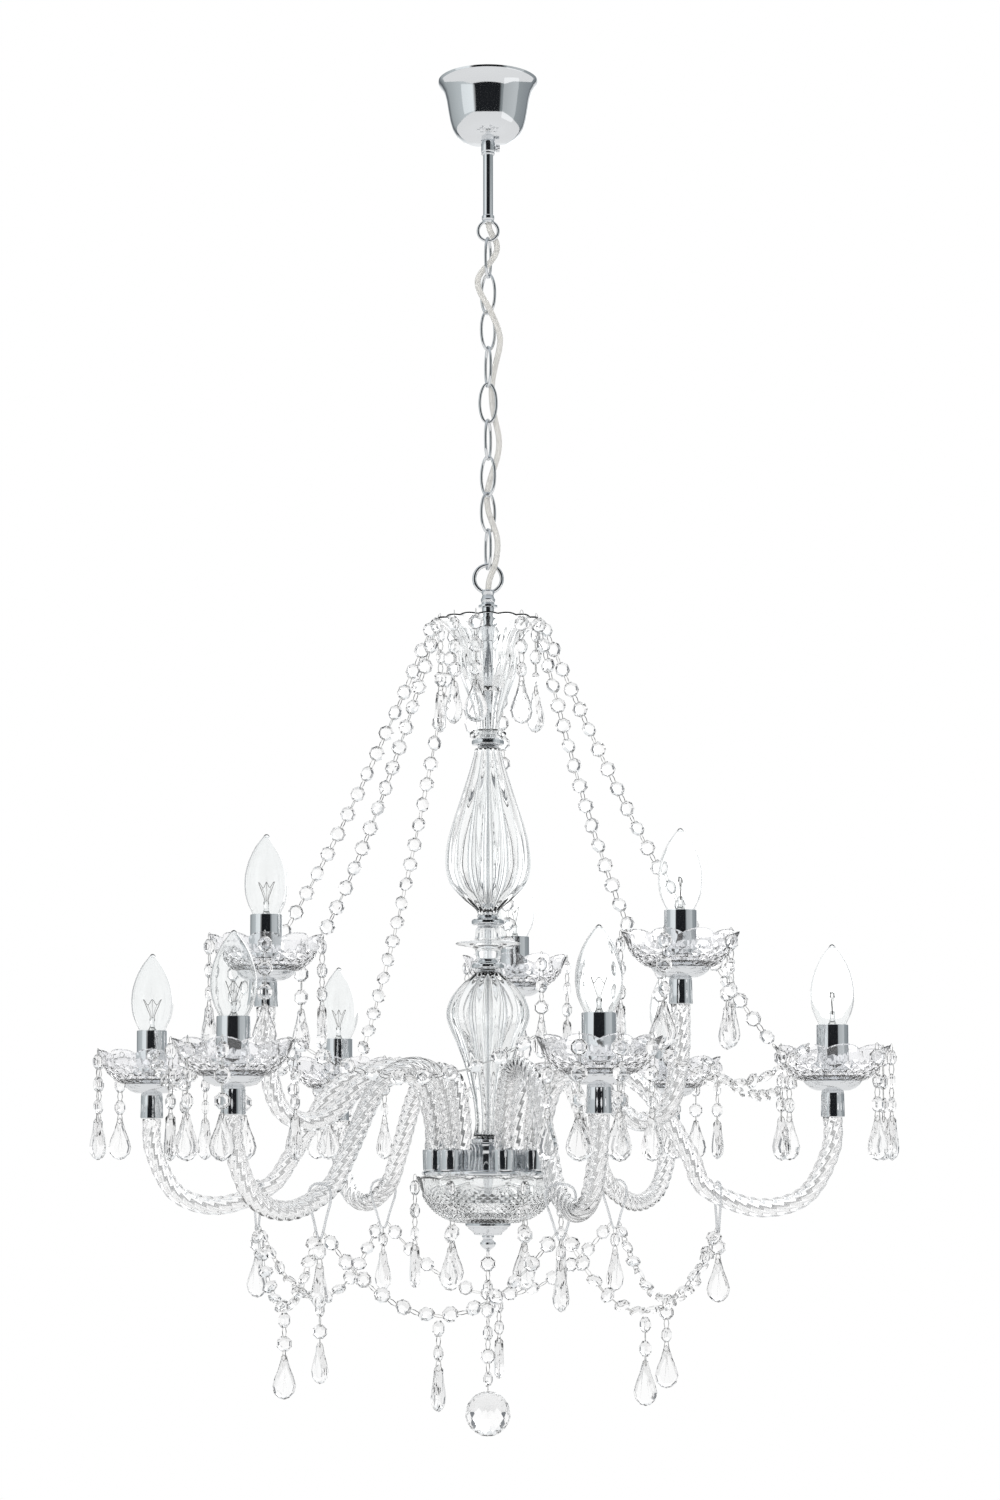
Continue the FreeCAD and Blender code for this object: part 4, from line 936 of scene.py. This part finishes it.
rib_ring = []
for k in range(ARM_RIBS * RIB_POINTS):
    angle = math.tau * k / (ARM_RIBS * RIB_POINTS)
    reach = ARM_RADIUS * (1 - RIB_DEPTH * valley(angle, ARM_RIBS))
    rib_ring.append((reach * math.cos(angle), reach * math.sin(angle)))
print("arm section:", len(rib_ring), "points")

# %% Arms
HUB_CUP_HEIGHT = 17
CUP_CIRCLE = 45
LONG_ARMS = 6


def evenly(points, step):
    """Points a step apart along a smooth line."""
    line = eased(points, 12)
    found = [line[0]]
    left = step
    for a, b in zip(line, line[1:]):
        gap = (b - a).length
        while gap >= left:
            a = a + (b - a) * (left / gap)
            found.append(a)
            gap = (b - a).length
            left = step
        left -= gap
    if (line[-1] - found[-1]).length > 0.3 * step:
        found.append(line[-1])
    return found


def arm_profile(number, reach, end):
    """An arm's curve as (radius, height): up from its hub cup, over and out, and up to its light."""
    c, s = CUP_CIRCLE, level("arm_cups") + HUB_CUP_HEIGHT
    if number <= LONG_ARMS:
        profile = [(c, s), (c + 1, s + 24), (c + 13, s + 56), (c + 41, s + 66), (c + 70, s + 59)]
        profile += [(c + 91, s + 42), (c + 120, s - 4), (reach - 102, s - 30), (reach - 60, s - 46)]
        profile += [(reach - 22, s - 36), (reach - 2, s - 1)]
    else:
        profile = [(c, s), (c + 1, s + 24), (c + 10, s + 52), (c + 36, s + 66), (c + 62, s + 55)]
        profile += [(c + 82, s + 34), (reach - 38, s + 22), (reach - 12, s + 33), (reach - 1, s + 72)]
    return profile + [(reach, end)]


leads = []
for number, reach, azimuth, end in stacks:
    node = f"lower_arm_{number}" if number <= LONG_ARMS else f"upper_arm_{number - LONG_ARMS}"
    path = evenly([around(r, azimuth, h) for r, h in arm_profile(number, reach, end)], STATION)
    side = around(1, azimuth + 90, 0)
    tube = sweep(path, rib_ring, twist=math.tau * STATION / TURN_LENGTH, side=side)
    bore = sweep(path[1:-1:2], round_ring(ARM_BORE, 14), side=side)
    bmesh.ops.reverse_faces(bore, faces=bore.faces)
    arm = joined([tube, bore])
    make("twisted_" + node, arm, twisted_glass, "chandelier", node, 80)
    leads.append(sweep(path[2:-2:3], round_ring(LEAD_RADIUS, 8), side=side))
make("arm_leads", joined(leads), white_lead, "chandelier", (), 60)

# %% [markdown]
# ## Arm cups, pans and sleeves
# A chrome cup takes each end of an arm, a shallow pan carries the glass dish, and a plain bright
# tube stands in it like a candle. All nine are alike, so each is turned once and stamped nine
# times. Small rolled edges matter here: a bare sharp tube end would show as a hard cut line.

# %% Shapes of a light
low_cup_line = [(0, 0), (8.6, 0), (8.9, 0.4), (9.0, 1.2), (9.5, 15.6), (9.4, 16.6), (9.0, HUB_CUP_HEIGHT)]
low_cup_line += [(7.6, HUB_CUP_HEIGHT), (7.4, 15.5), (0, 15.5)]
high_cup_line = [(0, 1.5), (7.4, 1.5), (7.6, 0), (9.0, 0), (9.4, 0.4), (9.5, 1.4), (9.1, 18.4)]
high_cup_line += [(8.8, 20.2), (8.2, ARM_CUP_HEIGHT), (0, ARM_CUP_HEIGHT)]
pan_line = [(0, 0), (12.6, 0), (13.8, 0.2), (18, 2.0), (21.6, 4.9), (22.8, 6.8), (23.0, 7.3), (22.6, 7.5)]
pan_line += [(22.1, 7.2), (20.8, 5.6), (17.4, 3.1), (13.4, PAN_THICKNESS), (0, PAN_THICKNESS)]
sleeve_line = [(11.9, 0), (12.8, 0), (12.8, 50.4), (12.6, 50.9), (12.3, 51), (11.9, 50.7)]
holder_line = [(0, 4), (7.2, 4), (7.2, 30), (7.0, 47.5), (7.6, 48.6), (8.4, HOLDER_HEIGHT)]
holder_line += [(10.4, HOLDER_HEIGHT), (11, 48.4), (11, 45), (10.2, 44), (10.2, 0), (0, 0)]
low_cup = as_mesh(turn(low_cup_line, 32), "cup_low")
high_cup = as_mesh(turn(high_cup_line, 32), "cup_high")
pan = as_mesh(turn(pan_line, 48), "pan")
sleeve = as_mesh(turn(sleeve_line, 40, closed=True), "sleeve")
holder = as_mesh(turn(holder_line, 32), "holder")
print("one light:", sum(len(m.polygons) for m in (low_cup, high_cup, pan, sleeve, holder)), "faces")

# %% Nine lights
HUB_THICKNESS = 4
cups, pans, sleeves, holders = bmesh.new(), bmesh.new(), bmesh.new(), bmesh.new()
for number, reach, azimuth, end in stacks:
    hub_top = level("hub") + HUB_THICKNESS
    stamp(cups, low_cup, Matrix.Translation(around(CUP_CIRCLE, azimuth, hub_top)))
    stamp(cups, high_cup, Matrix.Translation(around(reach, azimuth, end)))
    stamp(pans, pan, Matrix.Translation(around(reach, azimuth, end + ARM_CUP_HEIGHT)))
    stamp(sleeves, sleeve, Matrix.Translation(around(reach, azimuth, end + SLEEVE_FOOT)))
    stamp(holders, holder, Matrix.Translation(around(reach, azimuth, end + SLEEVE_FOOT)))
make("turned_arm_cups", cups, chrome, "chandelier", "arm_cups", 30)
make("drip_pans", pans, chrome, "chandelier", "pans", 30)
make("candle_sleeves", sleeves, chrome, "chandelier", "sleeves", 30)
make("moulded_holders", holders, ivory_plastic, "chandelier", "lampholders", 30)

# %% [markdown]
# ## Glass dishes
# The dish round each sleeve is pressed with ten petals and cut with rows of diamonds. The petals
# rise to the rim and dip between, which is what makes the wavy line that the eye follows from
# light to light. One dish is made and stamped nine times, each turned towards its own arm.

# %% Dishes
DISH_LOBES = 10
DISH_COLUMNS = 80
DISH_HOLE = 13.1
PAN_HEIGHT = 7.5
dish_wall = [(23, 0), (26.6, 1.6), (30, 3.6), (33.2, 6.2), (36.2, 9.2), (38.9, 12.6)]
dish_wall += [(41.2, 16.4), (43, 20.4)]
dish_rim = [(44.8, 24.4), (46.2, 27.2), (46.3, 28.2), (45.4, 28.2), (43.8, 24.8)]
dish_back = [(41.8, 20), (39.2, 14.4), (34.8, 8.6), (28.8, 4.6), (22.6, 2.8), (DISH_HOLE, 2.6)]
dish_outline = [(DISH_HOLE, 0)] + eased(dish_wall, 2) + dish_rim + dish_back
dish = turn(dish_outline, DISH_COLUMNS, closed=True)
scallop(dish, DISH_LOBES, start=34, rim=46.3, depth=0.11, drop=4.0)
diamond_cut(dish, (1, 13), DISH_COLUMNS, 0.9, half=2)
dish_mesh = as_mesh(dish, "dish_pattern")
dishes = bmesh.new()
for number, reach, azimuth, end in stacks:
    seat = Matrix.Translation(around(reach, azimuth, end + ARM_CUP_HEIGHT + PAN_HEIGHT))
    stamp(dishes, dish_mesh, seat @ Matrix.Rotation(math.radians(azimuth - 90), 4, "Z"))
make("petal_dishes", dishes, pattern_glass, "chandelier", "bobeches", 14)

# %% [markdown]
# ## Bulb glass and cap
# A clear candle bulb is a thin blown shell over a glass stem, on a screw cap. Light bends twice at
# a thin wall, once in and once out, so the shell has a true inner surface, 0.7 mm inside the outer
# one and a little lower at the tip. The cap's thread is drawn as rings, since it hides in the
# holder.

# %% Bulb glass and cap
GLASS_WALL = 0.7
TIP_WALL = 1.2
THREADS = 7
THREAD_PITCH = 1.6


def inner_wall(radius, height):
    """The point inside an outline's point, a little lower near the tip, where the wall is thick."""
    lowered = TIP_WALL if radius < 3 else 0.2 if radius < 9 else 0
    return (max(radius - GLASS_WALL, 0.01), height - lowered)


low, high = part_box("bulb_1")
tall = (high[2] - low[2]) / MM - CAP_LENGTH
shell = [(10.2, -2), (10.6, 1), (12.2, 5), (14.6, 10), (16.7, 17), (17.5, 25), (17.1, 33), (15.4, 41)]
shell += [(12.4, 49), (8.6, 56), (5.0, 61), (2.6, 64), (1.3, tall - 0.5), (0.01, tall)]
outer = eased(shell, 4)
inner = [inner_wall(radius, height) for radius, height in reversed(outer)]
bulb_mesh = as_mesh(turn(outer + inner, 40, closed=True), "shell")
stem_line = [(0, -3), (5.2, -3), (5.0, 0), (3.0, 3), (2.0, 6), (2.1, 9), (2.6, 11), (1.9, 12.6), (0, 13.2)]
stem_mesh = as_mesh(turn(stem_line, 20), "glass_stem")
cap_line = [(0, 2 - CAP_LENGTH), (3, 2 - CAP_LENGTH), (4, -17), (6.2, -16.6)]
for k in range(THREADS):
    cap_line += [(6.9, -15.8 + THREAD_PITCH * k), (6.2, -15 + THREAD_PITCH * k)]
cap_line += [(6.4, -5), (9.4, -1.6), (10.0, 0.4), (0, 0.4)]
cap_mesh = as_mesh(turn(cap_line, 24), "screw_cap")
print("bulb:", len(bulb_mesh.polygons), "faces,", round(tall, 1), "mm of glass")

# %% [markdown]
# ## Filament and bulbs
# Two steel wires rise from the stem and hold a fine tungsten filament, which three hooks of
# thinner wire keep from sagging. Every wire is a sweep. The nine bulbs are screwed in by hand, so
# no two show their filament from the same side.

# %% Filament
COIL_STEPS = 60
COIL_SPAN = 15
COIL_LEVEL = 25.5
COIL_WAVE = 2.2
COIL_LEAN = 1.2


def wire(points, thickness):
    """A wire of five sides through the points."""
    return sweep([Vector(p) for p in points], round_ring(thickness / 2, 5), side=(0, 1, 0))


coil = []
for k in range(COIL_STEPS + 1):
    share = k / COIL_STEPS
    height = COIL_LEVEL + COIL_WAVE * math.cos(share * math.tau * 2)
    coil.append((COIL_SPAN * (share - 0.5), COIL_LEAN * math.sin(share * math.tau), height))
wires = [wire(coil, 0.45)]
for side in (-1, 1):
    lead_in = [(side * 1.2, 0.1, 10), (side * 2.0, 0.1, 15), (side * 5.8, 0.1, 24), (side * 7.5, 0, 27.7)]
    hook = [(side * 0.4, 0.2, 12), (side * 1.8, 0.5, 18), (side * 3.7, 0.8 * side, 23.3)]
    wires += [wire(lead_in, 0.5), wire(hook, 0.3)]
wires.append(wire([(0, 0.3, 12), (0.1, 0.4, 20), (0, 0, 27.7)], 0.3))
filament_mesh = as_mesh(joined(wires), "filament")
print("filament:", len(filament_mesh.polygons), "faces")

# %% Nine bulbs
BULB_TURN = 37
bulb_parts = {
    "glass": (bulb_mesh, bulb_glass),
    "stem": (stem_mesh, bulb_glass),
    "cap": (cap_mesh, nickel_wire),
    "filament": (filament_mesh, tungsten),
}
for number, (x, y, cap_foot) in enumerate(bulbs, start=1):
    turned = Matrix.Rotation(math.radians(BULB_TURN * number), 4, "Z")
    place = Matrix.Translation((x, y, cap_foot + CAP_LENGTH)) @ turned
    for word, (mesh, finish) in bulb_parts.items():
        part = bmesh.new()
        stamp(part, mesh, place)
        make(f"lamp_{number}_{word}", part, finish, f"lamp_{number}", f"bulb_{number}", 50)

# %% [markdown]
# ## Crystals
# The dressing is some five hundred small crystals: eight-sided beads joined by wire rings, and
# almond drops at the ends. The CAD frame holds one plain solid for each, so the detailed crystal
# takes its place from there: the solid's two far corners are the ends, and the widest corner
# between them gives the way it faces.

# %% Reading the frame's crystals
BEAD_CORNERS = 6


def crystals_in(node):
    """(top, foot, across, kind) of every solid of a node, in millimetres."""
    bm = bmesh.new()
    bm.from_mesh(frame["nodes"][node].data)
    bmesh.ops.remove_doubles(bm, verts=bm.verts, dist=1e-5)
    found = []
    seen = set()
    for start in bm.verts:
        if start in seen:
            continue
        island = [start]
        seen.add(start)
        for vertex in island:
            for edge in vertex.link_edges:
                other = edge.other_vert(vertex)
                if other not in seen:
                    seen.add(other)
                    island.append(other)
        points = [v.co / MM for v in island]
        a, b = max(((p, q) for p in points for q in points), key=lambda pair: (pair[0] - pair[1]).length)
        top, foot = (a, b) if a.z >= b.z else (b, a)
        down = (foot - top).normalized()
        across = max((p - top - down * (p - top).dot(down) for p in points), key=lambda v: v.length)
        kind = "bead" if len(points) == BEAD_CORNERS else "almond"
        found.append((top.copy(), foot.copy(), across.normalized(), kind))
    bm.free()
    return found


# %% [markdown]
# ## Cutting a crystal
# Both crystals are flat stones, ground with facets that slope down from a table on each side. The
# outline becomes one face, and inset makes each ring of facets: the face shrinks and rises. The
# half is then given its girdle and mirrored. With five hundred stones, each has few faces. The
# ring that joins two stones is a small oval of wire.

# %% Crystal shapes
BEAD_RADIUS = 6.5
BEAD_SIDES = 8
RING_LENGTH = 4.6
RING_WIDTH = 2.0
RING_STEPS = 8


def cut_stone(outline, girdle_half, bands):
    """A flat outline with a girdle, inset on both faces. bands are (inset, rise) in millimetres."""
    bm = bmesh.new()
    girdle = [bm.verts.new((x, 0, z)) for x, z in outline]
    bm.faces.new(girdle)
    bm.normal_update()
    front = bm.faces[:]
    if front[0].normal.y > 0:
        bmesh.ops.reverse_faces(bm, faces=front)
    for vertex in girdle:
        vertex.co.y = -girdle_half
    for inset, rise in bands:
        bmesh.ops.inset_region(bm, faces=front, thickness=inset, use_boundary=True, use_even_offset=True)
        for vertex in {v for face in front for v in face.verts}:
            vertex.co.y -= rise
    rim = [edge for edge in bm.edges if edge.is_boundary]
    band = bmesh.ops.extrude_edge_only(bm, edges=rim)["geom"]
    for vertex in (part for part in band if isinstance(part, bmesh.types.BMVert)):
        vertex.co.y = 0
    bmesh.ops.mirror(bm, geom=bm.verts[:] + bm.edges[:] + bm.faces[:], axis="Y", merge_dist=1e-4)
    bmesh.ops.recalc_face_normals(bm, faces=bm.faces)
    return bm


corner_angles = [math.tau * (k + 0.5) / BEAD_SIDES for k in range(BEAD_SIDES)]
octagon = [(BEAD_RADIUS * math.cos(angle), BEAD_RADIUS * math.sin(angle)) for angle in corner_angles]
bead_mesh = as_mesh(cut_stone(octagon, 0.5, [(1.3, 1.6), (1.7, 1.0)]), "bead_pattern")
almond_outline = [(0, 1.4), (2.2, 0.2), (3.0, -3.0), (5.0, -9.5), (8.0, -16.5), (10.0, -23.5)]
almond_outline += [(8.4, -29.4), (4.4, -33), (0, -34.2)]
almond_outline += [(-x, z) for x, z in reversed(almond_outline[1:-1])]
almond = cut_stone(almond_outline, 0.4, [(1.0, 1.6), (1.3, 1.2), (1.0, 0.5)])
almond_mesh = as_mesh(almond, "almond_pattern")
wire_oval = ellipse(RING_WIDTH, RING_LENGTH, RING_STEPS, across=(0, 1, 0))
wire_ring = sweep(wire_oval, round_ring(0.36, 4), side=(1, 0, 0), closed=True)
ring_mesh = as_mesh(wire_ring, "ring_pattern")
for word, mesh in (("bead", bead_mesh), ("almond", almond_mesh), ("ring", ring_mesh)):
    print(word, len(mesh.polygons), "faces")

# %% [markdown]
# ## Dressing the frame
# Every crystal is stamped at its solid's place, turned a little about its own line, since no two
# hang alike. Where the ends of two or more crystals meet, one wire ring joins them. An end that is
# alone gets a smaller ring, sunk into its stone. The ball's chain leaves its last ring to the ball.

# %% Dressing the frame
LOOSE_TURN = 32
GOLDEN_ANGLE = 2.4
RING_TURN = 38
END_RING_SIZE = 0.72
END_RING_SUNK = 1.4
ENDS_MEET = 1.2


def facing(place, down, across, twist=0.0):
    """A 4x4 whose Z runs up the strand and whose X is the crystal's width, turned on by twist degrees."""
    up = -down
    width = (across - up * across.dot(up)).normalized()
    deep = up.cross(width)
    axes = Matrix((width, deep, up)).transposed().to_4x4()
    return Matrix.Translation(place) @ axes @ Matrix.Rotation(math.radians(twist), 4, "Z")


def dress(node, body, name, last_ring=True):
    """Beads, almonds and rings in place of a node's plain solids. last_ring is the lowest end's."""
    stones, rings = bmesh.new(), bmesh.new()
    found = crystals_in(node)
    ends = []
    for index, (top, foot, across, kind) in enumerate(found):
        down = (foot - top).normalized()
        twist = LOOSE_TURN * math.sin(GOLDEN_ANGLE * index)
        if kind == "bead":
            stamp(stones, bead_mesh, facing((top + foot) / 2, down, across, twist))
            ends += [(top, down, across), (foot, down, across)]
        else:
            stamp(stones, almond_mesh, facing(top, down, across, twist / 2))
            ends.append((top, down, across))
    if not last_ring:
        ends.remove(min(ends, key=lambda end: end[0].z))
    ends_tree = KDTree(len(ends))
    for index, (place, _, _) in enumerate(ends):
        ends_tree.insert(place, index)
    ends_tree.balance()
    done = set()
    for index, (place, down, across) in enumerate(ends):
        if index in done:
            continue
        twist = LOOSE_TURN * math.sin(GOLDEN_ANGLE * index)
        near = [i for _, i, _ in ends_tree.find_range(place, ENDS_MEET)]
        done.update(near)
        if len(near) == 1:
            end_ring = facing(place + down * END_RING_SUNK, down, across, RING_TURN + twist / 2)
            stamp(rings, ring_mesh, end_ring @ Matrix.Scale(END_RING_SIZE, 4))
        else:
            stamp(rings, ring_mesh, facing(place, down, across, RING_TURN + twist / 2))
    make(name + "_crystals", stones, cut_crystal, body, node, 0)
    make(name + "_rings", rings, nickel_wire, body, node, 60)
    print(name, len(found), "crystals")


for node, name in (
    ("long_strands", "long_strand"),
    ("short_drops", "short_drop"),
    ("bobeche_drops", "dish_drop"),
    ("bobeche_swags", "dish_swag"),
    ("lower_swags", "lower_swag"),
):
    dress(node, "chandelier", name)
dress("ball_chain", "ball_strand", "ball_chain", last_ring=False)

# %% [markdown]
# ## Hooks
# A clear moulded hook hangs over the low point of each long arm, shaped like a drop, and carries
# the swags. Half of the drop is drawn and mirrored in its outline, and a round section is swept
# along it. Light 2's hook hangs 20 degrees askew, as it would cut its arm otherwise.

# %% Hooks
HOOK_FROM_LIGHT = 92
HOOK_BELOW_START = 25.5
HOOK_TURNS = [0, 20, 0, 0, 0, 0]
half_hook = [(0, 0), (5.6, -0.8), (9.6, -3), (11.5, -6.6), (12, -10.6), (11, -16), (8.7, -22)]
half_hook += [(6.2, -29), (3.5, -38), (1.6, -41.8)]
hook_line = half_hook + [(-x, z) for x, z in reversed(half_hook[1:])]
crown_level = level("arm_cups") + HUB_CUP_HEIGHT - HOOK_BELOW_START
hooks = []
for (number, reach, azimuth, end), hook_turn in zip(stacks, HOOK_TURNS):
    crown = around(reach - HOOK_FROM_LIGHT, azimuth, crown_level)
    turned = Matrix.Rotation(math.radians(azimuth + hook_turn), 3, "Z")
    path = [crown + turned @ Vector((x, 0, z)) for x, z in hook_line]
    hooks.append(sweep(path, round_ring(1.0, 8), side=turned @ Vector((0, 1, 0)), closed=True))
make("clear_hooks", joined(hooks), clear_plastic, "chandelier", "arm_hooks", 60)

# %% [markdown]
# ## Crystal ball
# The ball at the very end is cut with rows of facets, each row turned half a facet against the
# next, so it throws light all round. A sphere of few rows, with every second row turned, is that
# cut. A wire eye on top is the last ring of its chain, and swings with the ball.

# %% Crystal ball
BALL_RADIUS = 18.3
BALL_FACETS = 16
BALL_ROWS = 11
EYE_LIFT = 1.2
low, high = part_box("crystal_ball")
ball_middle = (low[2] + high[2]) / 2 / MM
ball = bmesh.new()
bmesh.ops.create_uvsphere(ball, u_segments=BALL_FACETS, v_segments=BALL_ROWS, radius=BALL_RADIUS)
half_facet = Matrix.Rotation(math.pi / BALL_FACETS, 3, "Z")
for vertex in ball.verts:
    polar_angle = math.acos(max(-1, min(1, vertex.co.z / BALL_RADIUS)))
    if round(polar_angle / math.pi * BALL_ROWS) % 2:
        vertex.co = half_facet @ vertex.co
four_sided = [face for face in ball.faces if len(face.verts) == 4]
bmesh.ops.triangulate(ball, faces=four_sided, quad_method="SHORT_EDGE")
make("cut_ball", raised(ball, ball_middle), cut_crystal, "ball", "crystal_ball", 0)
eye_path = ellipse(1.6, 2.2, 10, BALL_RADIUS + EYE_LIFT, across=(0, 1, 0))
eye = sweep(eye_path, round_ring(0.4, 6), side=(1, 0, 0), closed=True)
make("ball_eye", raised(eye, ball_middle), nickel_wire, "ball", (), 60)

# %% [markdown]
# ## Surroundings
# Glass and chrome are drawn by what stands round them. A studio for such things is white, with a
# few dark strips to the sides, because the strips give every sleeve its dark stripe and every
# glass edge its outline. Real strips would show behind the object, so the world gives each kind of
# ray a view of its own. The camera sees plain white, and plain white lights the dull pieces too.
# Three facts about a direction steer the rest: its bearing round the object, how steep it is, and
# how far round it lies from the camera's side.

# %% World: the direction of a ray
world = bpy.data.worlds.new("white_studio")
bpy.context.scene.world = world
world.use_nodes = True
tree = world.node_tree
tree.nodes.clear()
SOFT = {"interpolation_type": "SMOOTHSTEP"}

direction = add(tree, "ShaderNodeTexCoord")
apart = add(tree, "ShaderNodeSeparateXYZ", links={"Vector": direction.outputs["Generated"]}).outputs
links = {0: apart["Y"], 1: apart["X"]}
bearing = add(tree, "ShaderNodeMath", {"operation": "ARCTAN2"}, links=links).outputs[0]
steepness = add(tree, "ShaderNodeMath", {"operation": "ABSOLUTE"}, links={0: apart["Z"]}).outputs[0]
values = {"From Min": 0.45, "From Max": 0.9, "To Min": 1.0, "To Max": 0.0}
level_part = add(tree, "ShaderNodeMapRange", SOFT, values, {"Value": steepness}).outputs[0]

ahead = add(tree, "ShaderNodeMath", {"operation": "SINE"}, links={0: bearing})
back = add(tree, "ShaderNodeMath", {"operation": "MULTIPLY"}, {1: -1.0}, {0: ahead.outputs[0]})
turned = add(tree, "ShaderNodeMath", {"operation": "ARCCOSINE"}, links={0: back.outputs[0]})
values, links = {1: math.pi}, {0: turned.outputs[0]}
half_turns = add(tree, "ShaderNodeMath", {"operation": "DIVIDE"}, values, links).outputs[0]
print("world:", len(tree.nodes), "nodes for directions")

# %% [markdown]
# ## Seen through the glass
# Rays that have passed through glass meet white, a little darker overhead and below, with five
# narrow upright grey strips. The count is odd, so no strip stands straight opposite another, and
# every glass edge picks up one of them as its outline.

# %% World: seen through the glass
STRIPS = 5
values = {1: STRIPS, 2: STRIPS * math.pi / 2}
turns = add(tree, "ShaderNodeMath", {"operation": "MULTIPLY_ADD"}, values, {0: bearing})
wave = add(tree, "ShaderNodeMath", {"operation": "COSINE"}, links={0: turns.outputs[0]})
values = {"From Min": 0.8, "From Max": 0.99}
strip = add(tree, "ShaderNodeMapRange", SOFT, values, {"Value": wave.outputs[0]})
links = {0: strip.outputs[0], 1: level_part}
low_strip = add(tree, "ShaderNodeMath", {"operation": "MULTIPLY"}, links=links)
values = {"From Min": 0.3, "From Max": 0.7}
steep_part = add(tree, "ShaderNodeMapRange", SOFT, values, {"Value": steepness})
sky = add(tree, "ShaderNodeValToRGB", links={"Fac": steep_part.outputs[0]})
sky.color_ramp.elements[0].color = linear("#FFFFFF")
sky.color_ramp.elements[1].color = linear("#EDF0F2")
clear_view = add(tree, "ShaderNodeBackground", links={"Color": sky.outputs["Color"]})
grey_view = add(tree, "ShaderNodeBackground", values={"Color": linear("#6C7075")})
links = {0: low_strip.outputs[0], 1: clear_view.outputs[0], 2: grey_view.outputs[0]}
through_glass = add(tree, "ShaderNodeMixShader", links=links)

# %% [markdown]
# ## Mirrored in the chrome
# Chrome shows the room bent round: what stands behind the camera comes to the middle of a sleeve,
# what stands behind the sleeve to its edges. So each wall is a row of colours from the camera's
# side to the far side. It starts dark, is lighter on the left than on the right, darkens before
# the far corner, and ends in white, which gives every edge its bright line.

# %% World: mirrored in the chrome
left_colours = [(0, "#1C1E21"), (0.21, "#1C1E21"), (0.24, "#D2D8DA"), (0.5, "#C2C8CA")]
left_colours += [(0.74, "#A8AEB0"), (0.84, "#565B60"), (0.93, "#E4E8EA"), (1, "#FFFFFF")]
right_colours = [(0, "#1C1E21"), (0.18, "#1C1E21"), (0.21, "#8A9092"), (0.45, "#A2A8AA")]
right_colours += [(0.74, "#90969A"), (0.84, "#464B50"), (0.93, "#E4E8EA"), (1, "#FFFFFF")]


def wall(colours):
    """Light in (place, hex colour) steps, from 0 at the camera's side to 1 behind the object."""
    ramp = add(tree, "ShaderNodeValToRGB", links={"Fac": half_turns})
    elements = ramp.color_ramp.elements
    while len(elements) < len(colours):
        elements.new(0.5)
    for element, (place, colour) in zip(elements, colours):
        element.position = place
        element.color = linear(colour)
    return add(tree, "ShaderNodeBackground", links={"Color": ramp.outputs["Color"]}).outputs[0]


values = {"From Min": -0.06, "From Max": 0.06}
right_part = add(tree, "ShaderNodeMapRange", SOFT, values, {"Value": apart["X"]})
links = {0: right_part.outputs[0], 1: wall(left_colours), 2: wall(right_colours)}
walls = add(tree, "ShaderNodeMixShader", links=links)
lid = add(tree, "ShaderNodeBackground", values={"Color": linear("#C9CED3")})
links = {0: level_part, 1: lid.outputs[0], 2: walls.outputs[0]}
mirrored = add(tree, "ShaderNodeMixShader", links=links)

# %% World: which ray sees what
rays = add(tree, "ShaderNodeLightPath").outputs
white = add(tree, "ShaderNodeBackground", values={"Color": linear("#FFFFFF")})
view = white
for ray, seen in (
    ("Is Glossy Ray", mirrored),
    ("Is Transmission Ray", through_glass),
    ("Is Camera Ray", white),
):
    links = {0: rays[ray], 1: view.outputs[0], 2: seen.outputs[0]}
    view = add(tree, "ShaderNodeMixShader", links=links)
add(tree, "ShaderNodeOutputWorld", links={"Surface": view.outputs[0]})
print("world:", len(tree.nodes), "nodes")

# %% [markdown]
# ## Lamps and floor
# Three large soft lamps, two in front and one behind, shape the dull pieces and put highlights on
# the glass. The object hangs from a ceiling, so the floor lies far below it. It is pale and plain,
# because the crystals turn the world upside down and would show a dark one.

# %% Lamps and floor
LOOK_AT = Vector((0, 0, -0.75))
FLOOR_LEVEL = -3.8
FLOOR_REACH = 14
for name, place, size, power in (
    ("key", (-2.4, -1.6, 0.5), 2.4, 5),
    ("fill", (2.6, -1.2, -0.4), 2.4, 4),
    ("back", (0.8, 2.8, 0.3), 2.0, 8),
):
    lamp = bpy.data.lights.new(name, "AREA")
    lamp.size = size
    lamp.energy = power
    panel = bpy.data.objects.new(name, lamp)
    panel.location = place
    panel.rotation_euler = (LOOK_AT - Vector(place)).to_track_quat("-Z", "Y").to_euler()
    bpy.context.collection.objects.link(panel)
    print(name, "lamp,", power, "W")

pale, tree, shader = new_finish("pale_matt_floor", Base_Color=linear("#EEEEEE"), Roughness=0.9)
floor_bm = bmesh.new()
bmesh.ops.create_grid(floor_bm, x_segments=4, y_segments=4, size=FLOOR_REACH)
floor_mesh = as_mesh(raised(floor_bm, FLOOR_LEVEL), "floor")
floor_mesh.materials.append(pale)
floor = bpy.data.objects.new("floor", floor_mesh)
bpy.context.collection.objects.link(floor)
floor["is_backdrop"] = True
bpy.context.scene.view_settings.view_transform = "Standard"

# %% [markdown]
# The dressed model is meant to stay in the CAD model's box. Both boxes are printed.

# %% Sizes
visual_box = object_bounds()
boxes = {"cad": [list(map(float, p)) for p in CAD_BOX], "visual": [list(map(float, p)) for p in visual_box]}
for word, box in boxes.items():
    print(word, [[round(v, 4) for v in corner] for corner in box])
